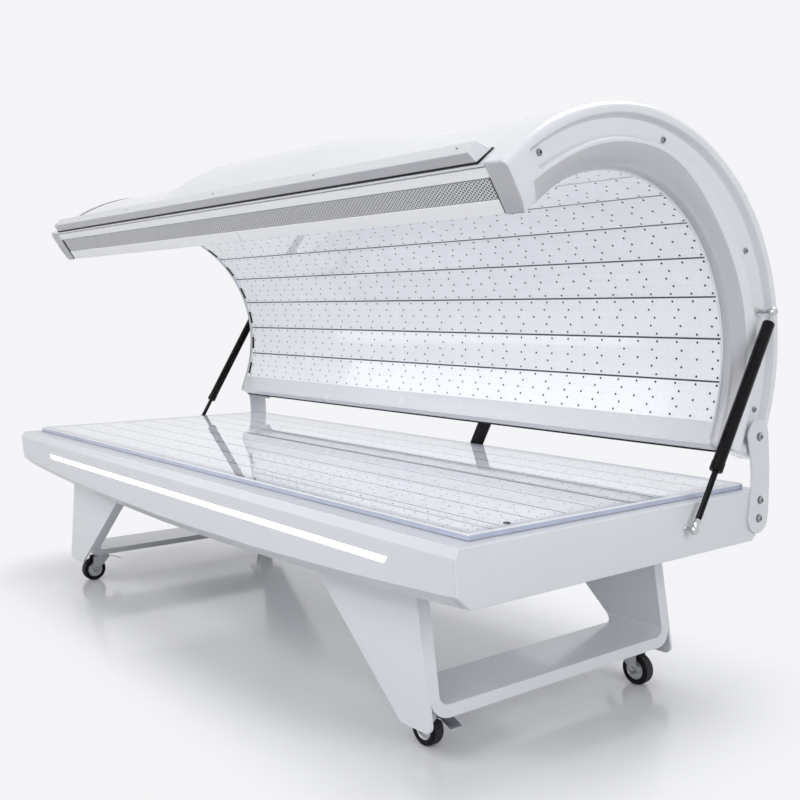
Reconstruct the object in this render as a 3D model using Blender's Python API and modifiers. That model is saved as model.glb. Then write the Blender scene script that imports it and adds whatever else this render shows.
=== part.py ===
"""Clamshell red light therapy bed on four braked casters.

Metres, +Z up. X runs along the bed, +Y points to the hinge side, and the origin lies on the floor below the
middle of the whole outline with the canopy open, which is how the bed is modelled.
"""

import math

import bmesh
import bpy
from mathutils import Matrix, Vector

# Fits between pieces
GAP = 0.0003
SEAM = 0.0008
PIVOT_CLEARANCE = 0.0004

# Base box
BED_LENGTH = 1.940
BASE_DEPTH = 0.8385
BASE_FRONT_Y = -0.4473
BASE_REAR_Y = BASE_FRONT_Y + BASE_DEPTH
HALF = BED_LENGTH / 2
DECK_Z = 0.427
END_HEIGHT = 0.102
END_BOTTOM_Z = DECK_Z - END_HEIGHT
BELLY_DROP = 0.034
BELLY_STEPS = 20
SHEET = 0.003
END_THICKNESS = 0.018
END_ROUNDING = 0.003
TOP_CHAMFER = (0.008, 0.016)
FASCIA_LEAN = 0.006
LOW_CHAMFER = (0.029, 0.025)
REAR_LEAN = 0.002

# Deck
RIM_THICKNESS = 0.006
SHEET_FRONT_MARGIN = 0.052
SHEET_REAR_MARGIN = 0.029
SHEET_END_MARGIN = 0.026
SHEET_THICKNESS = 0.012
RIM_LEDGE = 0.025
BOARD_THICKNESS = 0.004
BED_BOARDS = 3
BOARD_LAP = 0.010

# Light strip in the fascia
STRIP_MARGINS = 0.395
STRIP_LENGTH = BED_LENGTH - STRIP_MARGINS
STRIP_OFFSET_X = 0.027
STRIP_SLANT = 0.010
STRIP_HEIGHT = 0.012
STRIP_BELOW_DECK = 0.050
STRIP_Z = DECK_Z - STRIP_BELOW_DECK
STRIP_DEPTH = 0.008

# Electrics inside the base
SUPPLY_SIZE = (0.240, 0.110, 0.050)
SUPPLY_FROM_REAR = 0.2912
SUPPLY_Y = BASE_REAR_Y - SUPPLY_FROM_REAR
INLET_FROM_END = 0.270
INLET_X = HALF - INLET_FROM_END
INLET_BELOW_DECK = 0.045
INLET_Z = DECK_Z - INLET_BELOW_DECK
INLET_FLANGE = (0.050, 0.004, 0.030)
INLET_BODY = (0.044, 0.020, 0.024)
INLET_SOCKET = (0.030, 0.016, 0.016)

# Legs: a bent plate with a skirt plate on its front and rear
LEG_SET_IN = (0.0845, 0.078)
LEG_FRONT_Y = BASE_FRONT_Y + LEG_SET_IN[0]
LEG_REAR_Y = BASE_REAR_Y - LEG_SET_IN[1]
LEG_PLATE = 0.022
LEG_BEND = 0.040
SKIRT = 0.005
SKIRT_DROP = 0.022
SKIRT_ROUNDING = 0.016
LEG_FOOT_FROM_END = (0.272, 0.1565)
LEG_FOOT_X = (HALF - LEG_FOOT_FROM_END[0], HALF - LEG_FOOT_FROM_END[1])
LEG_OUTER_LEAN = 0.169
LEG_INNER_LEAN = 1.088
WELD_LAP = 0.001

# Casters
CASTER_HEIGHT = 0.082
CASTER_FROM_END = 0.2145
CASTER_X = HALF - CASTER_FROM_END
CASTER_INSET_Y = 0.066
CASTER_PLATE = (0.084, 0.062, 0.0025)
RACE_RADIUS = 0.021
BOSS_HEIGHT = 0.003
RACE_HEIGHT = 0.006
FORK_SHEET = 0.0025
FORK_INSIDE = 0.0285
FORK_FRONT = 0.017
FORK_REAR = 0.030
FORK_ROUNDING = 0.009
WHEEL_RADIUS = 0.0325
WHEEL_WIDTH = 0.021
HUB_RADIUS = 0.009
AXLE_RADIUS = 0.004
TRAIL = 0.024
PEDAL_PIVOT = 0.012
PEDAL_REACH = 0.043
PEDAL_BEND = 0.016
PEDAL_DROP = 0.011
PEDAL_SHEET = 0.0027
PEDAL_BELOW_RACE = 0.0025
# Where each caster trails at rest, in degrees about +Z from +X
CASTER_TURNS = {
    "front_right": 180.0,
    "rear_right": 0.0,
    "front_left": 270.0,
    "rear_left": 0.0,
}

# Pivot line of the canopy
HINGE_FROM_REAR = 0.0282
HINGE_ABOVE_DECK = 0.110
HINGE_Y = BASE_REAR_Y - HINGE_FROM_REAR
HINGE_Z = DECK_Z + HINGE_ABOVE_DECK
CLOSING_ANGLE = 38.0

# Canopy section: the outer and inner lines start at the front lip and run over the top to the foot
OUTER_LIP = (0.7073, 0.4808)
OUTER_START = (HINGE_Y - OUTER_LIP[0], HINGE_Z + OUTER_LIP[1])
OUTER_HEADING = 42.5
OUTER_ARCS = ((0.488, 78.7), (0.4245, 79.2))
OUTER_TAIL = 0.030
INNER_LIP = (0.6549, 0.4039)
INNER_START = (HINGE_Y - INNER_LIP[0], HINGE_Z + INNER_LIP[1])
INNER_HEADING = 33.5
INNER_ARCS = ((0.777, 11.3), (0.3476, 132.4))
INNER_TAIL = 0.075
CAP_SET_BACK = 0.005
CAP_DEPTH = 0.049
CAP_FACE_X = HALF - CAP_SET_BACK
CAP_BACK_X = CAP_FACE_X - CAP_DEPTH
CAP_STATIONS = 30
CAP_LIP = 0.012
RECESS_DEPTH = 0.004
RECESS_OUTER = (0.27, 0.39)
RECESS_INNER = 0.69
RECESS_START = 0.055
RECESS_END = 0.93
RIM_SET_BACK = 0.031
RIM_FACE_X = CAP_FACE_X - RIM_SET_BACK
SHELL_INSET = 0.0015
SHELL_THICKNESS = 0.004
SHELL_STEP = 0.042
CHORD = 0.008
# Hood moulded into the roof, along X and then along the section from the front edge
HOOD_HEIGHT = 0.034
HOOD_FROM = -0.42
HOOD_FULL = (-0.22, 0.25)
HOOD_TO = 0.56
HOOD_FRONT = 0.070
HOOD_REAR = 0.720
HOOD_RISE = 0.150
HOOD_STEPS = 4
CANOPY_BOARDS = 11
BOARD_START = 0.0135
BOARD_TAIL = 0.005
LAST_BOARD = 0.0815

# Front panel, grille and handle bar of the canopy
PANEL_RECESS = 0.002
PANEL_DEPTH = 0.010
PANEL_TOP = 0.008
GRILLE_FROM = 0.0265
GRILLE_TO = 0.0665
GRILLE_SET_IN = 0.003
GRILLE_SHEET = 0.0016
HANDLE_SEAT = 0.046
HANDLE_TILT = 37.0
HANDLE_BASE = 0.044
HANDLE_TOP = (-0.0025, 0.0275)
HANDLE_HEIGHT = (0.0225, 0.0265)
HANDLE_END_GAP = 0.013
HANDLE_END_SLOPE = 0.008
HANDLE_HALF_BASE = CAP_BACK_X - HANDLE_END_GAP
HANDLE_HALF_TOP = HANDLE_HALF_BASE - HANDLE_END_SLOPE
HANDLE_ROUNDING = 0.003

# Rear rail of the canopy
RAIL_THICKNESS = 0.012
RAIL_FLANGE = 0.006

# Hinge plates
HINGE_FOOT_PLACE = (0.007, 0.163)
HINGE_FOOT = (HINGE_Y + HINGE_FOOT_PLACE[0], HINGE_Z - HINGE_FOOT_PLACE[1])
HINGE_PLATE = 0.006
HINGE_LOBE = 0.034
HINGE_BOW = 0.008
PIVOT_RADIUS = 0.008
PIVOT_LENGTH = 0.026
SHOULDER_RADIUS = 0.014

# Gas struts
STRUT_STAND_OFF = 0.018
STRUT_X = HALF + STRUT_STAND_OFF
STRUT_FOOT_PLACE = (0.2272, 0.156)
STRUT_HEAD_PLACE = (0.016, 0.249)
STRUT_LOW = (HINGE_Y - STRUT_FOOT_PLACE[0], HINGE_Z - STRUT_FOOT_PLACE[1])
STRUT_HIGH = (HINGE_Y + STRUT_HEAD_PLACE[0], HINGE_Z + STRUT_HEAD_PLACE[1])
BALL_RADIUS = 0.0095
STUD_FLANGE = (0.008, 0.003)
STUD_NECK = 0.004
ROD_RADIUS = 0.005
FITTING_RADIUS = 0.007
FITTING_LENGTH = 0.028
ROD_EXPOSED = 0.104
ROD_INSIDE = 0.030
PISTON = (0.0088, 0.010)
CYLINDER_RADIUS = 0.011
CYLINDER_BORE = 0.0092
CYLINDER_GUIDE = 0.008
TOP_FITTING = 0.014
TOP_FITTING_RADIUS = 0.006
BORE_SPARE = 0.030

# Cable strap between canopy and base
STRAP_WIDTH = 0.048
STRAP_THICKNESS = 0.003
STRAP_TOP_X = 0.212
STRAP_FOOT_X = 0.136
STRAP_TOP_BEFORE_HINGE = 0.027
STRAP_FOOT_FROM_REAR = 0.0172
STRAP_TOP_Y = HINGE_Y - STRAP_TOP_BEFORE_HINGE
STRAP_FOOT_Y = BASE_REAR_Y - STRAP_FOOT_FROM_REAR
STRAP_STEPS = 10

ROUND_STEPS = 24
WHEEL_STEPS = 32

# Places that follow from the sizes above
INSIDE = HALF - END_THICKNESS
LEG_FLOOR_Z = CASTER_HEIGHT
AXLE_Z = WHEEL_RADIUS
HINGE_INNER_X = HALF + GAP

# Planes that an outline drawn in (u, v) and thickened along w is laid in
YZ_PLANE = Matrix(((0, 0, 1, 0), (1, 0, 0, 0), (0, 1, 0, 0), (0, 0, 0, 1)))
XZ_PLANE = Matrix(((1, 0, 0, 0), (0, 0, -1, 0), (0, 1, 0, 0), (0, 0, 0, 1)))
XY_PLANE = Matrix.Identity(4)
# Turned pieces are drawn about Z and laid along X or Y
ALONG_X = Matrix.Rotation(math.radians(90), 4, "Y")
ALONG_Y = Matrix.Rotation(math.radians(90), 4, "X")


def start_scene():
    """Removes what the scene holds and makes the collections for the pieces and for the cutters."""
    for obj in list(bpy.data.objects):
        bpy.data.objects.remove(obj, do_unlink=True)
    made = []
    for name in ("red_light_therapy_bed", "cutters"):
        collection = bpy.data.collections.new(name)
        bpy.context.scene.collection.children.link(collection)
        made.append(collection)
    made[1].hide_render = True
    return made


PIECES, CUTTERS = start_scene()


def finish(name, colour, roughness, metallic=0.0, alpha=1.0):
    material = bpy.data.materials.new(name)
    material.use_nodes = True
    shader = material.node_tree.nodes["Principled BSDF"]
    shader.inputs["Base Color"].default_value = (*colour, 1.0)
    shader.inputs["Roughness"].default_value = roughness
    shader.inputs["Metallic"].default_value = metallic
    shader.inputs["Alpha"].default_value = alpha
    return material


WHITE = finish("gloss_white_paint", (0.80, 0.81, 0.84), 0.22)
LEG_WHITE = finish("leg_white_paint", (0.78, 0.79, 0.82), 0.35)
ACRYLIC = finish("clear_acrylic", (0.86, 0.90, 0.97), 0.04, alpha=0.35)
LED_WHITE = finish("led_board_white", (0.78, 0.81, 0.87), 0.12)
GLOW = finish("strip_diffuser", (1.0, 1.0, 1.0), 0.30)
ALLOY = finish("perforated_alloy", (0.55, 0.56, 0.58), 0.35, 1.0)
BLACK = finish("gloss_black_paint", (0.012, 0.012, 0.013), 0.20)
CHROME = finish("bright_steel", (0.62, 0.63, 0.65), 0.18, 1.0)
ZINC = finish("zinc_plated_steel", (0.50, 0.51, 0.53), 0.32, 1.0)
RUBBER = finish("black_rubber", (0.018, 0.018, 0.020), 0.55)
CASE_GREY = finish("supply_case", (0.45, 0.46, 0.47), 0.40, 0.8)
BLACK_PLASTIC = finish("black_plastic", (0.02, 0.02, 0.022), 0.45)


def add_piece(name, mesh, material, parent=None, collection=PIECES):
    """Adds an object for a mesh in world places, moved by its parent if it has one."""
    obj = bpy.data.objects.new(name, mesh)
    collection.objects.link(obj)
    mesh.materials.clear()
    mesh.materials.append(material)
    if parent:
        obj.parent = parent
        obj.matrix_parent_inverse = parent.matrix_basis.inverted()
    mesh.shade_smooth()
    mesh.set_sharp_from_angle(angle=math.radians(32))
    return obj


def add_empty(name, location, turn_z=0.0):
    """An empty on a joint's axis, which carries the pieces that move about it."""
    empty = bpy.data.objects.new(name, None)
    empty.location = location
    empty.rotation_euler = (0.0, 0.0, turn_z)
    PIECES.objects.link(empty)
    return empty


def add_cutter(name, mesh):
    obj = add_piece(name, mesh, BLACK_PLASTIC, collection=CUTTERS)
    obj.hide_render = True
    obj.display_type = "WIRE"
    return obj


def boolean(obj, other, operation):
    modifier = obj.modifiers.new(operation.lower(), "BOOLEAN")
    modifier.object = other
    modifier.operation = operation
    modifier.solver = "EXACT"


def bevel(obj, width, segments=2):
    modifier = obj.modifiers.new("rounded_edges", "BEVEL")
    modifier.width = width
    modifier.segments = segments
    modifier.limit_method = "ANGLE"
    modifier.angle_limit = math.radians(40)


def box_mesh(name, low, high):
    mesh = bpy.data.meshes.new(name)
    build = bmesh.new()
    bmesh.ops.create_cube(build, size=1.0)
    low, high = Vector(low), Vector(high)
    size = high - low
    for vertex in build.verts:
        vertex.co = Vector(c * s for c, s in zip(vertex.co, size)) + (low + high) / 2
    build.to_mesh(mesh)
    build.free()
    return mesh


def evaluated_mesh(obj):
    """The mesh of a curve or of a piece with modifiers, welded, with the helper object removed."""
    graph = bpy.context.evaluated_depsgraph_get()
    mesh = bpy.data.meshes.new_from_object(obj.evaluated_get(graph))
    data = obj.data
    bpy.data.objects.remove(obj, do_unlink=True)
    if isinstance(data, bpy.types.Curve):
        bpy.data.curves.remove(data)
    else:
        bpy.data.meshes.remove(data)
    build = bmesh.new()
    build.from_mesh(mesh)
    bmesh.ops.remove_doubles(build, verts=build.verts, dist=1e-6)
    bmesh.ops.recalc_face_normals(build, faces=build.faces)
    build.to_mesh(mesh)
    build.free()
    return mesh


def outline_mesh(name, loops, plane, low, high):
    """A flat outline, with any holes after it, laid in a plane and thickened from low to high across it."""
    curve = bpy.data.curves.new(name, "CURVE")
    curve.dimensions = "2D"
    curve.fill_mode = "BOTH"
    curve.extrude = (high - low) / 2
    for loop in loops:
        spline = curve.splines.new("POLY")
        spline.points.add(len(loop) - 1)
        spline.use_cyclic_u = True
        for point, (u, v) in zip(spline.points, loop):
            point.co = (u, v, 0.0, 1.0)
    helper = bpy.data.objects.new(name, curve)
    CUTTERS.objects.link(helper)
    mesh = evaluated_mesh(helper)
    mesh.name = name
    mesh.transform(plane @ Matrix.Translation((0.0, 0.0, (low + high) / 2)))
    return mesh


def turned_mesh(name, profile, steps, placing, closed=False):
    """A profile of (radius, height) points, from top to bottom, turned about Z and then placed."""
    mesh = bpy.data.meshes.new(name)
    build = bmesh.new()
    points = [build.verts.new((radius, 0.0, height)) for radius, height in profile]
    for start, end in zip(points, points[1:]):
        build.edges.new((start, end))
    if closed:
        build.edges.new((points[-1], points[0]))
    build.to_mesh(mesh)
    build.free()
    helper = bpy.data.objects.new(name, mesh)
    CUTTERS.objects.link(helper)
    screw = helper.modifiers.new("turn", "SCREW")
    screw.steps = steps
    screw.render_steps = steps
    screw.use_merge_vertices = True
    screw.merge_threshold = 1e-5
    result = evaluated_mesh(helper)
    result.name = name
    result.transform(placing)
    return result


def loft_mesh(name, sections):
    """A closed skin through sections that have the same number of points, capped at both ends."""
    mesh = bpy.data.meshes.new(name)
    build = bmesh.new()
    rings = [[build.verts.new(point) for point in section] for section in sections]
    count = len(rings[0])
    for ring, following in zip(rings, rings[1:]):
        for i in range(count):
            j = (i + 1) % count
            build.faces.new((ring[i], ring[j], following[j], following[i]))
    build.faces.new(rings[0])
    build.faces.new(rings[-1])
    bmesh.ops.recalc_face_normals(build, faces=build.faces)
    build.to_mesh(mesh)
    build.free()
    return mesh


def arc_points(centre, radius, start, end, steps):
    """Points of an arc between two angles in degrees."""
    angles = [math.radians(start + (end - start) * i / steps) for i in range(steps + 1)]
    return [(centre[0] + radius * math.cos(a), centre[1] + radius * math.sin(a)) for a in angles]


def arc_chain(start, heading, arcs, tail, inset=0.0):
    """Points of arcs that follow on from each other turning right, then a tail, all moved to the right."""
    turn = math.radians(heading)
    y = start[0] + inset * math.sin(turn)
    z = start[1] - inset * math.cos(turn)
    points = [(y, z)]
    for radius, sweep in arcs:
        steps = math.ceil(sweep / 5.0)
        part = math.radians(sweep) / steps
        chord = 2 * (radius - inset) * math.sin(part / 2)
        for _ in range(steps):
            y += chord * math.cos(turn - part / 2)
            z += chord * math.sin(turn - part / 2)
            turn -= part
            points.append((y, z))
    if tail:
        points.append((y + tail * math.cos(turn), z + tail * math.sin(turn)))
    return points


def along(points, distance):
    """The point at a distance along a line of points."""
    for start, end in zip(points, points[1:]):
        span = math.dist(start, end)
        if distance <= span + 1e-9:
            part = distance / span
            return tuple(a + (b - a) * part for a, b in zip(start, end))
        distance -= span
    return points[-1]


def outward(points, distance):
    """The unit vector to the left of a line of points, at a distance along it."""
    behind = Vector(along(points, max(0.0, distance - CHORD / 2)))
    way = (Vector(along(points, distance + CHORD / 2)) - behind).normalized()
    return Vector((-way.y, way.x))


def line_length(points):
    return sum(math.dist(a, b) for a, b in zip(points, points[1:]))


def spread(points, count):
    """Evenly spaced points along a line."""
    length = line_length(points)
    return [along(points, length * i / count) for i in range(count + 1)]


def belly(x):
    """How far the underside of the base hangs below its ends."""
    return BELLY_DROP * (1 - (x / HALF) ** 2)


def outer_line(inset=0.0, tail=OUTER_TAIL):
    return arc_chain(OUTER_START, OUTER_HEADING, OUTER_ARCS, tail, inset)


def inner_line(tail=INNER_TAIL):
    return arc_chain(INNER_START, INNER_HEADING, INNER_ARCS, tail)


# Corners of the base's section at its ends, from the rear top round the underside to the front top
BASE_SECTION = (
    (BASE_REAR_Y, DECK_Z),
    (BASE_REAR_Y - REAR_LEAN, END_BOTTOM_Z + LOW_CHAMFER[1]),
    (BASE_REAR_Y - REAR_LEAN - LOW_CHAMFER[0], END_BOTTOM_Z),
    (BASE_FRONT_Y + FASCIA_LEAN + LOW_CHAMFER[0], END_BOTTOM_Z),
    (BASE_FRONT_Y + FASCIA_LEAN, END_BOTTOM_Z + LOW_CHAMFER[1]),
    (BASE_FRONT_Y, DECK_Z - TOP_CHAMFER[1]),
    (BASE_FRONT_Y + TOP_CHAMFER[0], DECK_Z),
)
REAR_TOP, REAR_LOW, PAN_REAR, PAN_FRONT, FASCIA_LOW, FASCIA_HIGH, FRONT_TOP = BASE_SECTION
BELLY_CORNERS = (REAR_LOW, PAN_REAR, PAN_FRONT, FASCIA_LOW)


def bowed_sheet(name, corners, material):
    """A bent sheet along the bed whose lower corners follow the belly, thickened inwards."""
    mesh = bpy.data.meshes.new(name)
    build = bmesh.new()
    half = INSIDE - GAP
    bmesh.ops.create_grid(build, x_segments=BELLY_STEPS, y_segments=len(corners) - 1, size=1.0)
    for vertex in build.verts:
        y, z, hangs = corners[round((vertex.co.y + 1) / 2 * (len(corners) - 1))]
        x = vertex.co.x * half
        vertex.co = (x, y, z - belly(x) if hangs else z)
    build.to_mesh(mesh)
    build.free()
    obj = add_piece(name, mesh, material)
    thicken = obj.modifiers.new("thickness", "SOLIDIFY")
    thicken.thickness = SHEET
    thicken.offset = -1.0
    thicken.use_even_offset = True
    return obj


def hanging(*corners):
    return [(*corner, corner in BELLY_CORNERS) for corner in corners]


def fascia_face(z):
    """Where the fascia's leaning face is at a height."""
    return BASE_FRONT_Y + FASCIA_LEAN * (FASCIA_HIGH[1] - z) / (FASCIA_HIGH[1] - FASCIA_LOW[1])


def strip_block(name, clearance, front, depth):
    """A bar along the fascia whose ends lean, with its front where the given function puts it."""
    low = STRIP_Z - STRIP_HEIGHT / 2 + clearance
    high = STRIP_Z + STRIP_HEIGHT / 2 - clearance
    ends = []
    for sign in (-1, 1):
        top_x = STRIP_OFFSET_X + sign * (STRIP_LENGTH / 2 - clearance)
        foot_x = top_x - sign * STRIP_SLANT
        ends.append([
            (foot_x, front(low), low),
            (foot_x, front(low) + depth, low),
            (top_x, front(high) + depth, high),
            (top_x, front(high), high),
        ])
    return loft_mesh(name, ends)


def make_base_box():
    """The fascia, rear panel, bottom pan and the two end panels."""
    fascia = bowed_sheet("base_fascia", hanging(PAN_FRONT, FASCIA_LOW, FASCIA_HIGH, FRONT_TOP), WHITE)
    slot = strip_block("strip_slot", 0.0, lambda z: BASE_FRONT_Y - SHEET, FASCIA_LEAN + 4 * SHEET)
    boolean(fascia, add_cutter("strip_slot", slot), "DIFFERENCE")

    rear = bowed_sheet("base_rear_panel", hanging(REAR_TOP, REAR_LOW, PAN_REAR), WHITE)
    width, depth, height = (size / 2 + SEAM for size in INLET_BODY)
    low = (INLET_X - width, BASE_REAR_Y - REAR_LEAN - 2 * depth, INLET_Z - height)
    high = (INLET_X + width, BASE_REAR_Y + depth, INLET_Z + height)
    boolean(rear, add_cutter("inlet_hole", box_mesh("inlet_hole", low, high)), "DIFFERENCE")

    pan_rear = (PAN_REAR[0] - SHEET, PAN_REAR[1], True)
    pan_front = (PAN_FRONT[0] + SHEET, PAN_FRONT[1], True)
    bowed_sheet("base_bottom_pan", [pan_rear, pan_front], WHITE)

    for side, sign in (("left", -1), ("right", 1)):
        x_low, x_high = sorted((sign * INSIDE, sign * HALF))
        panel = outline_mesh("base_end_" + side, [BASE_SECTION], YZ_PLANE, x_low, x_high)
        bevel(add_piece("base_end_" + side, panel, WHITE), END_ROUNDING)


def rectangle(x_low, y_low, x_high, y_high):
    return [(x_low, y_low), (x_high, y_low), (x_high, y_high), (x_low, y_high)]


def make_deck():
    """The rim, the clear sheet on it and the LED boards hung under it."""
    sheet_x = HALF - SHEET_END_MARGIN
    sheet_front = BASE_FRONT_Y + SHEET_FRONT_MARGIN
    sheet_rear = BASE_REAR_Y - SHEET_REAR_MARGIN
    rim_outside = rectangle(
        -(INSIDE - GAP), FRONT_TOP[0] + SHEET + GAP, INSIDE - GAP, REAR_TOP[0] - SHEET - SEAM
    )
    hole_x = sheet_x - RIM_LEDGE
    hole_front, hole_rear = sheet_front + RIM_LEDGE, sheet_rear - RIM_LEDGE
    rim_hole = rectangle(-hole_x, hole_front, hole_x, hole_rear)
    rim = outline_mesh("deck_rim", [rim_outside, rim_hole], XY_PLANE, DECK_Z - RIM_THICKNESS, DECK_Z)
    add_piece("deck_rim", rim, WHITE)

    low = (-sheet_x, sheet_front, DECK_Z + GAP)
    high = (sheet_x, sheet_rear, DECK_Z + GAP + SHEET_THICKNESS)
    bevel(add_piece("deck_sheet", box_mesh("deck_sheet", low, high), ACRYLIC), SHEET_THICKNESS / 10)

    board_top = DECK_Z - RIM_THICKNESS - GAP
    first = hole_front - BOARD_LAP
    pitch = (hole_rear - hole_front + 2 * BOARD_LAP) / BED_BOARDS
    for i in range(BED_BOARDS):
        name = f"bed_led_board_{i + 1}"
        low = (-(hole_x + BOARD_LAP), first + pitch * i + SEAM / 2, board_top - BOARD_THICKNESS)
        high = (hole_x + BOARD_LAP, first + pitch * (i + 1) - SEAM / 2, board_top)
        add_piece(name, box_mesh(name, low, high), LED_WHITE)


def make_light_strip():
    """The diffuser that fills the slot in the fascia."""
    add_piece("light_strip", strip_block("light_strip", GAP, fascia_face, STRIP_DEPTH), GLOW)


def make_electrics():
    """The power supply on the bottom pan and the appliance inlet in the rear panel."""
    length, depth, height = SUPPLY_SIZE
    floor = END_BOTTOM_Z + SHEET - belly(length / 2) + GAP
    low = (-length / 2, SUPPLY_Y - depth / 2, floor)
    high = (length / 2, SUPPLY_Y + depth / 2, floor + height)
    bevel(add_piece("power_supply", box_mesh("power_supply", low, high), CASE_GREY), SHEET / 2)

    def inlet_box(name, size, y_low, y_high):
        half_x, half_z = size[0] / 2, size[2] / 2
        return box_mesh(
            name, (INLET_X - half_x, y_low, INLET_Z - half_z), (INLET_X + half_x, y_high, INLET_Z + half_z)
        )

    back = BASE_REAR_Y + GAP
    front = back + INLET_FLANGE[1]
    inlet = add_piece("mains_inlet", inlet_box("mains_inlet", INLET_FLANGE, back, front), BLACK_PLASTIC)
    body = inlet_box("inlet_body", INLET_BODY, back - INLET_BODY[1], back + WELD_LAP)
    boolean(inlet, add_cutter("inlet_body", body), "UNION")
    socket = inlet_box("inlet_socket", INLET_SOCKET, front - INLET_SOCKET[1], front + WELD_LAP)
    boolean(inlet, add_cutter("inlet_socket", socket), "DIFFERENCE")


def leg_edge(z, outer):
    """Where a leg's outer or inner edge is at a height."""
    if outer:
        return LEG_FOOT_X[1] + (LEG_FLOOR_Z - z) * LEG_OUTER_LEAN
    return LEG_FOOT_X[0] + (LEG_FLOOR_Z - z) * LEG_INNER_LEAN


def leg_outline(sign, bottom, rounding):
    """A leg's side view: a wedge that meets the belly at the top."""
    top = END_BOTTOM_Z - BELLY_DROP / 2
    inner, outer = leg_edge(top, False), leg_edge(top, True)
    steps = 8
    rim = [inner + (outer - inner) * i / steps for i in range(steps + 1)]
    line = [(x, END_BOTTOM_Z - belly(x) - GAP) for x in rim]
    line += arc_points((leg_edge(bottom, True) - rounding, bottom + rounding), rounding, 0, -90, 5)
    line += arc_points((leg_edge(bottom, False) + rounding, bottom + rounding), rounding, -90, -150, 4)
    return [(sign * x, z) for x, z in line]


def make_leg(side, sign):
    """A bent plate cut to a wedge, with a skirt plate welded on its front and rear."""
    front, rear = LEG_FRONT_Y + SKIRT, LEG_REAR_Y - SKIRT
    top = END_BOTTOM_Z + LEG_PLATE
    bend, floor = LEG_BEND, LEG_FLOOR_Z
    inner_bend = bend - LEG_PLATE
    corners = ((front + bend, floor + bend), (rear - bend, floor + bend))
    section = [(front, top)]
    section += arc_points(corners[0], bend, 180, 270, 6)
    section += arc_points(corners[1], bend, 270, 360, 6)
    section += [(rear, top), (rear - LEG_PLATE, top)]
    section += arc_points(corners[1], inner_bend, 360, 270, 6)
    section += arc_points(corners[0], inner_bend, 270, 180, 6)
    section += [(front + LEG_PLATE, top)]
    inner_x, outer_x = leg_edge(top, False) - LEG_PLATE, leg_edge(0.0, True) + LEG_PLATE
    x_low, x_high = sorted((sign * inner_x, sign * outer_x))
    name = "leg_" + side
    leg = add_piece(name, outline_mesh(name, [section], YZ_PLANE, x_low, x_high), LEG_WHITE)

    wedge = leg_outline(sign, 0.0, SKIRT_ROUNDING)
    wedge_name = "leg_wedge_" + side
    cutter = outline_mesh(wedge_name, [wedge], XZ_PLANE, -(LEG_REAR_Y + LEG_PLATE), -(LEG_FRONT_Y - LEG_PLATE))
    boolean(leg, add_cutter(wedge_name, cutter), "INTERSECT")

    skirt = leg_outline(sign, LEG_FLOOR_Z - SKIRT_DROP, SKIRT_ROUNDING)
    for end, y_low, y_high in (
        ("front", LEG_FRONT_Y, front + WELD_LAP),
        ("rear", rear - WELD_LAP, LEG_REAR_Y),
    ):
        skirt_name = f"skirt_{end}_{side}"
        plate = outline_mesh(skirt_name, [skirt], XZ_PLANE, -y_high, -y_low)
        boolean(leg, add_cutter(skirt_name, plate), "UNION")


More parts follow.
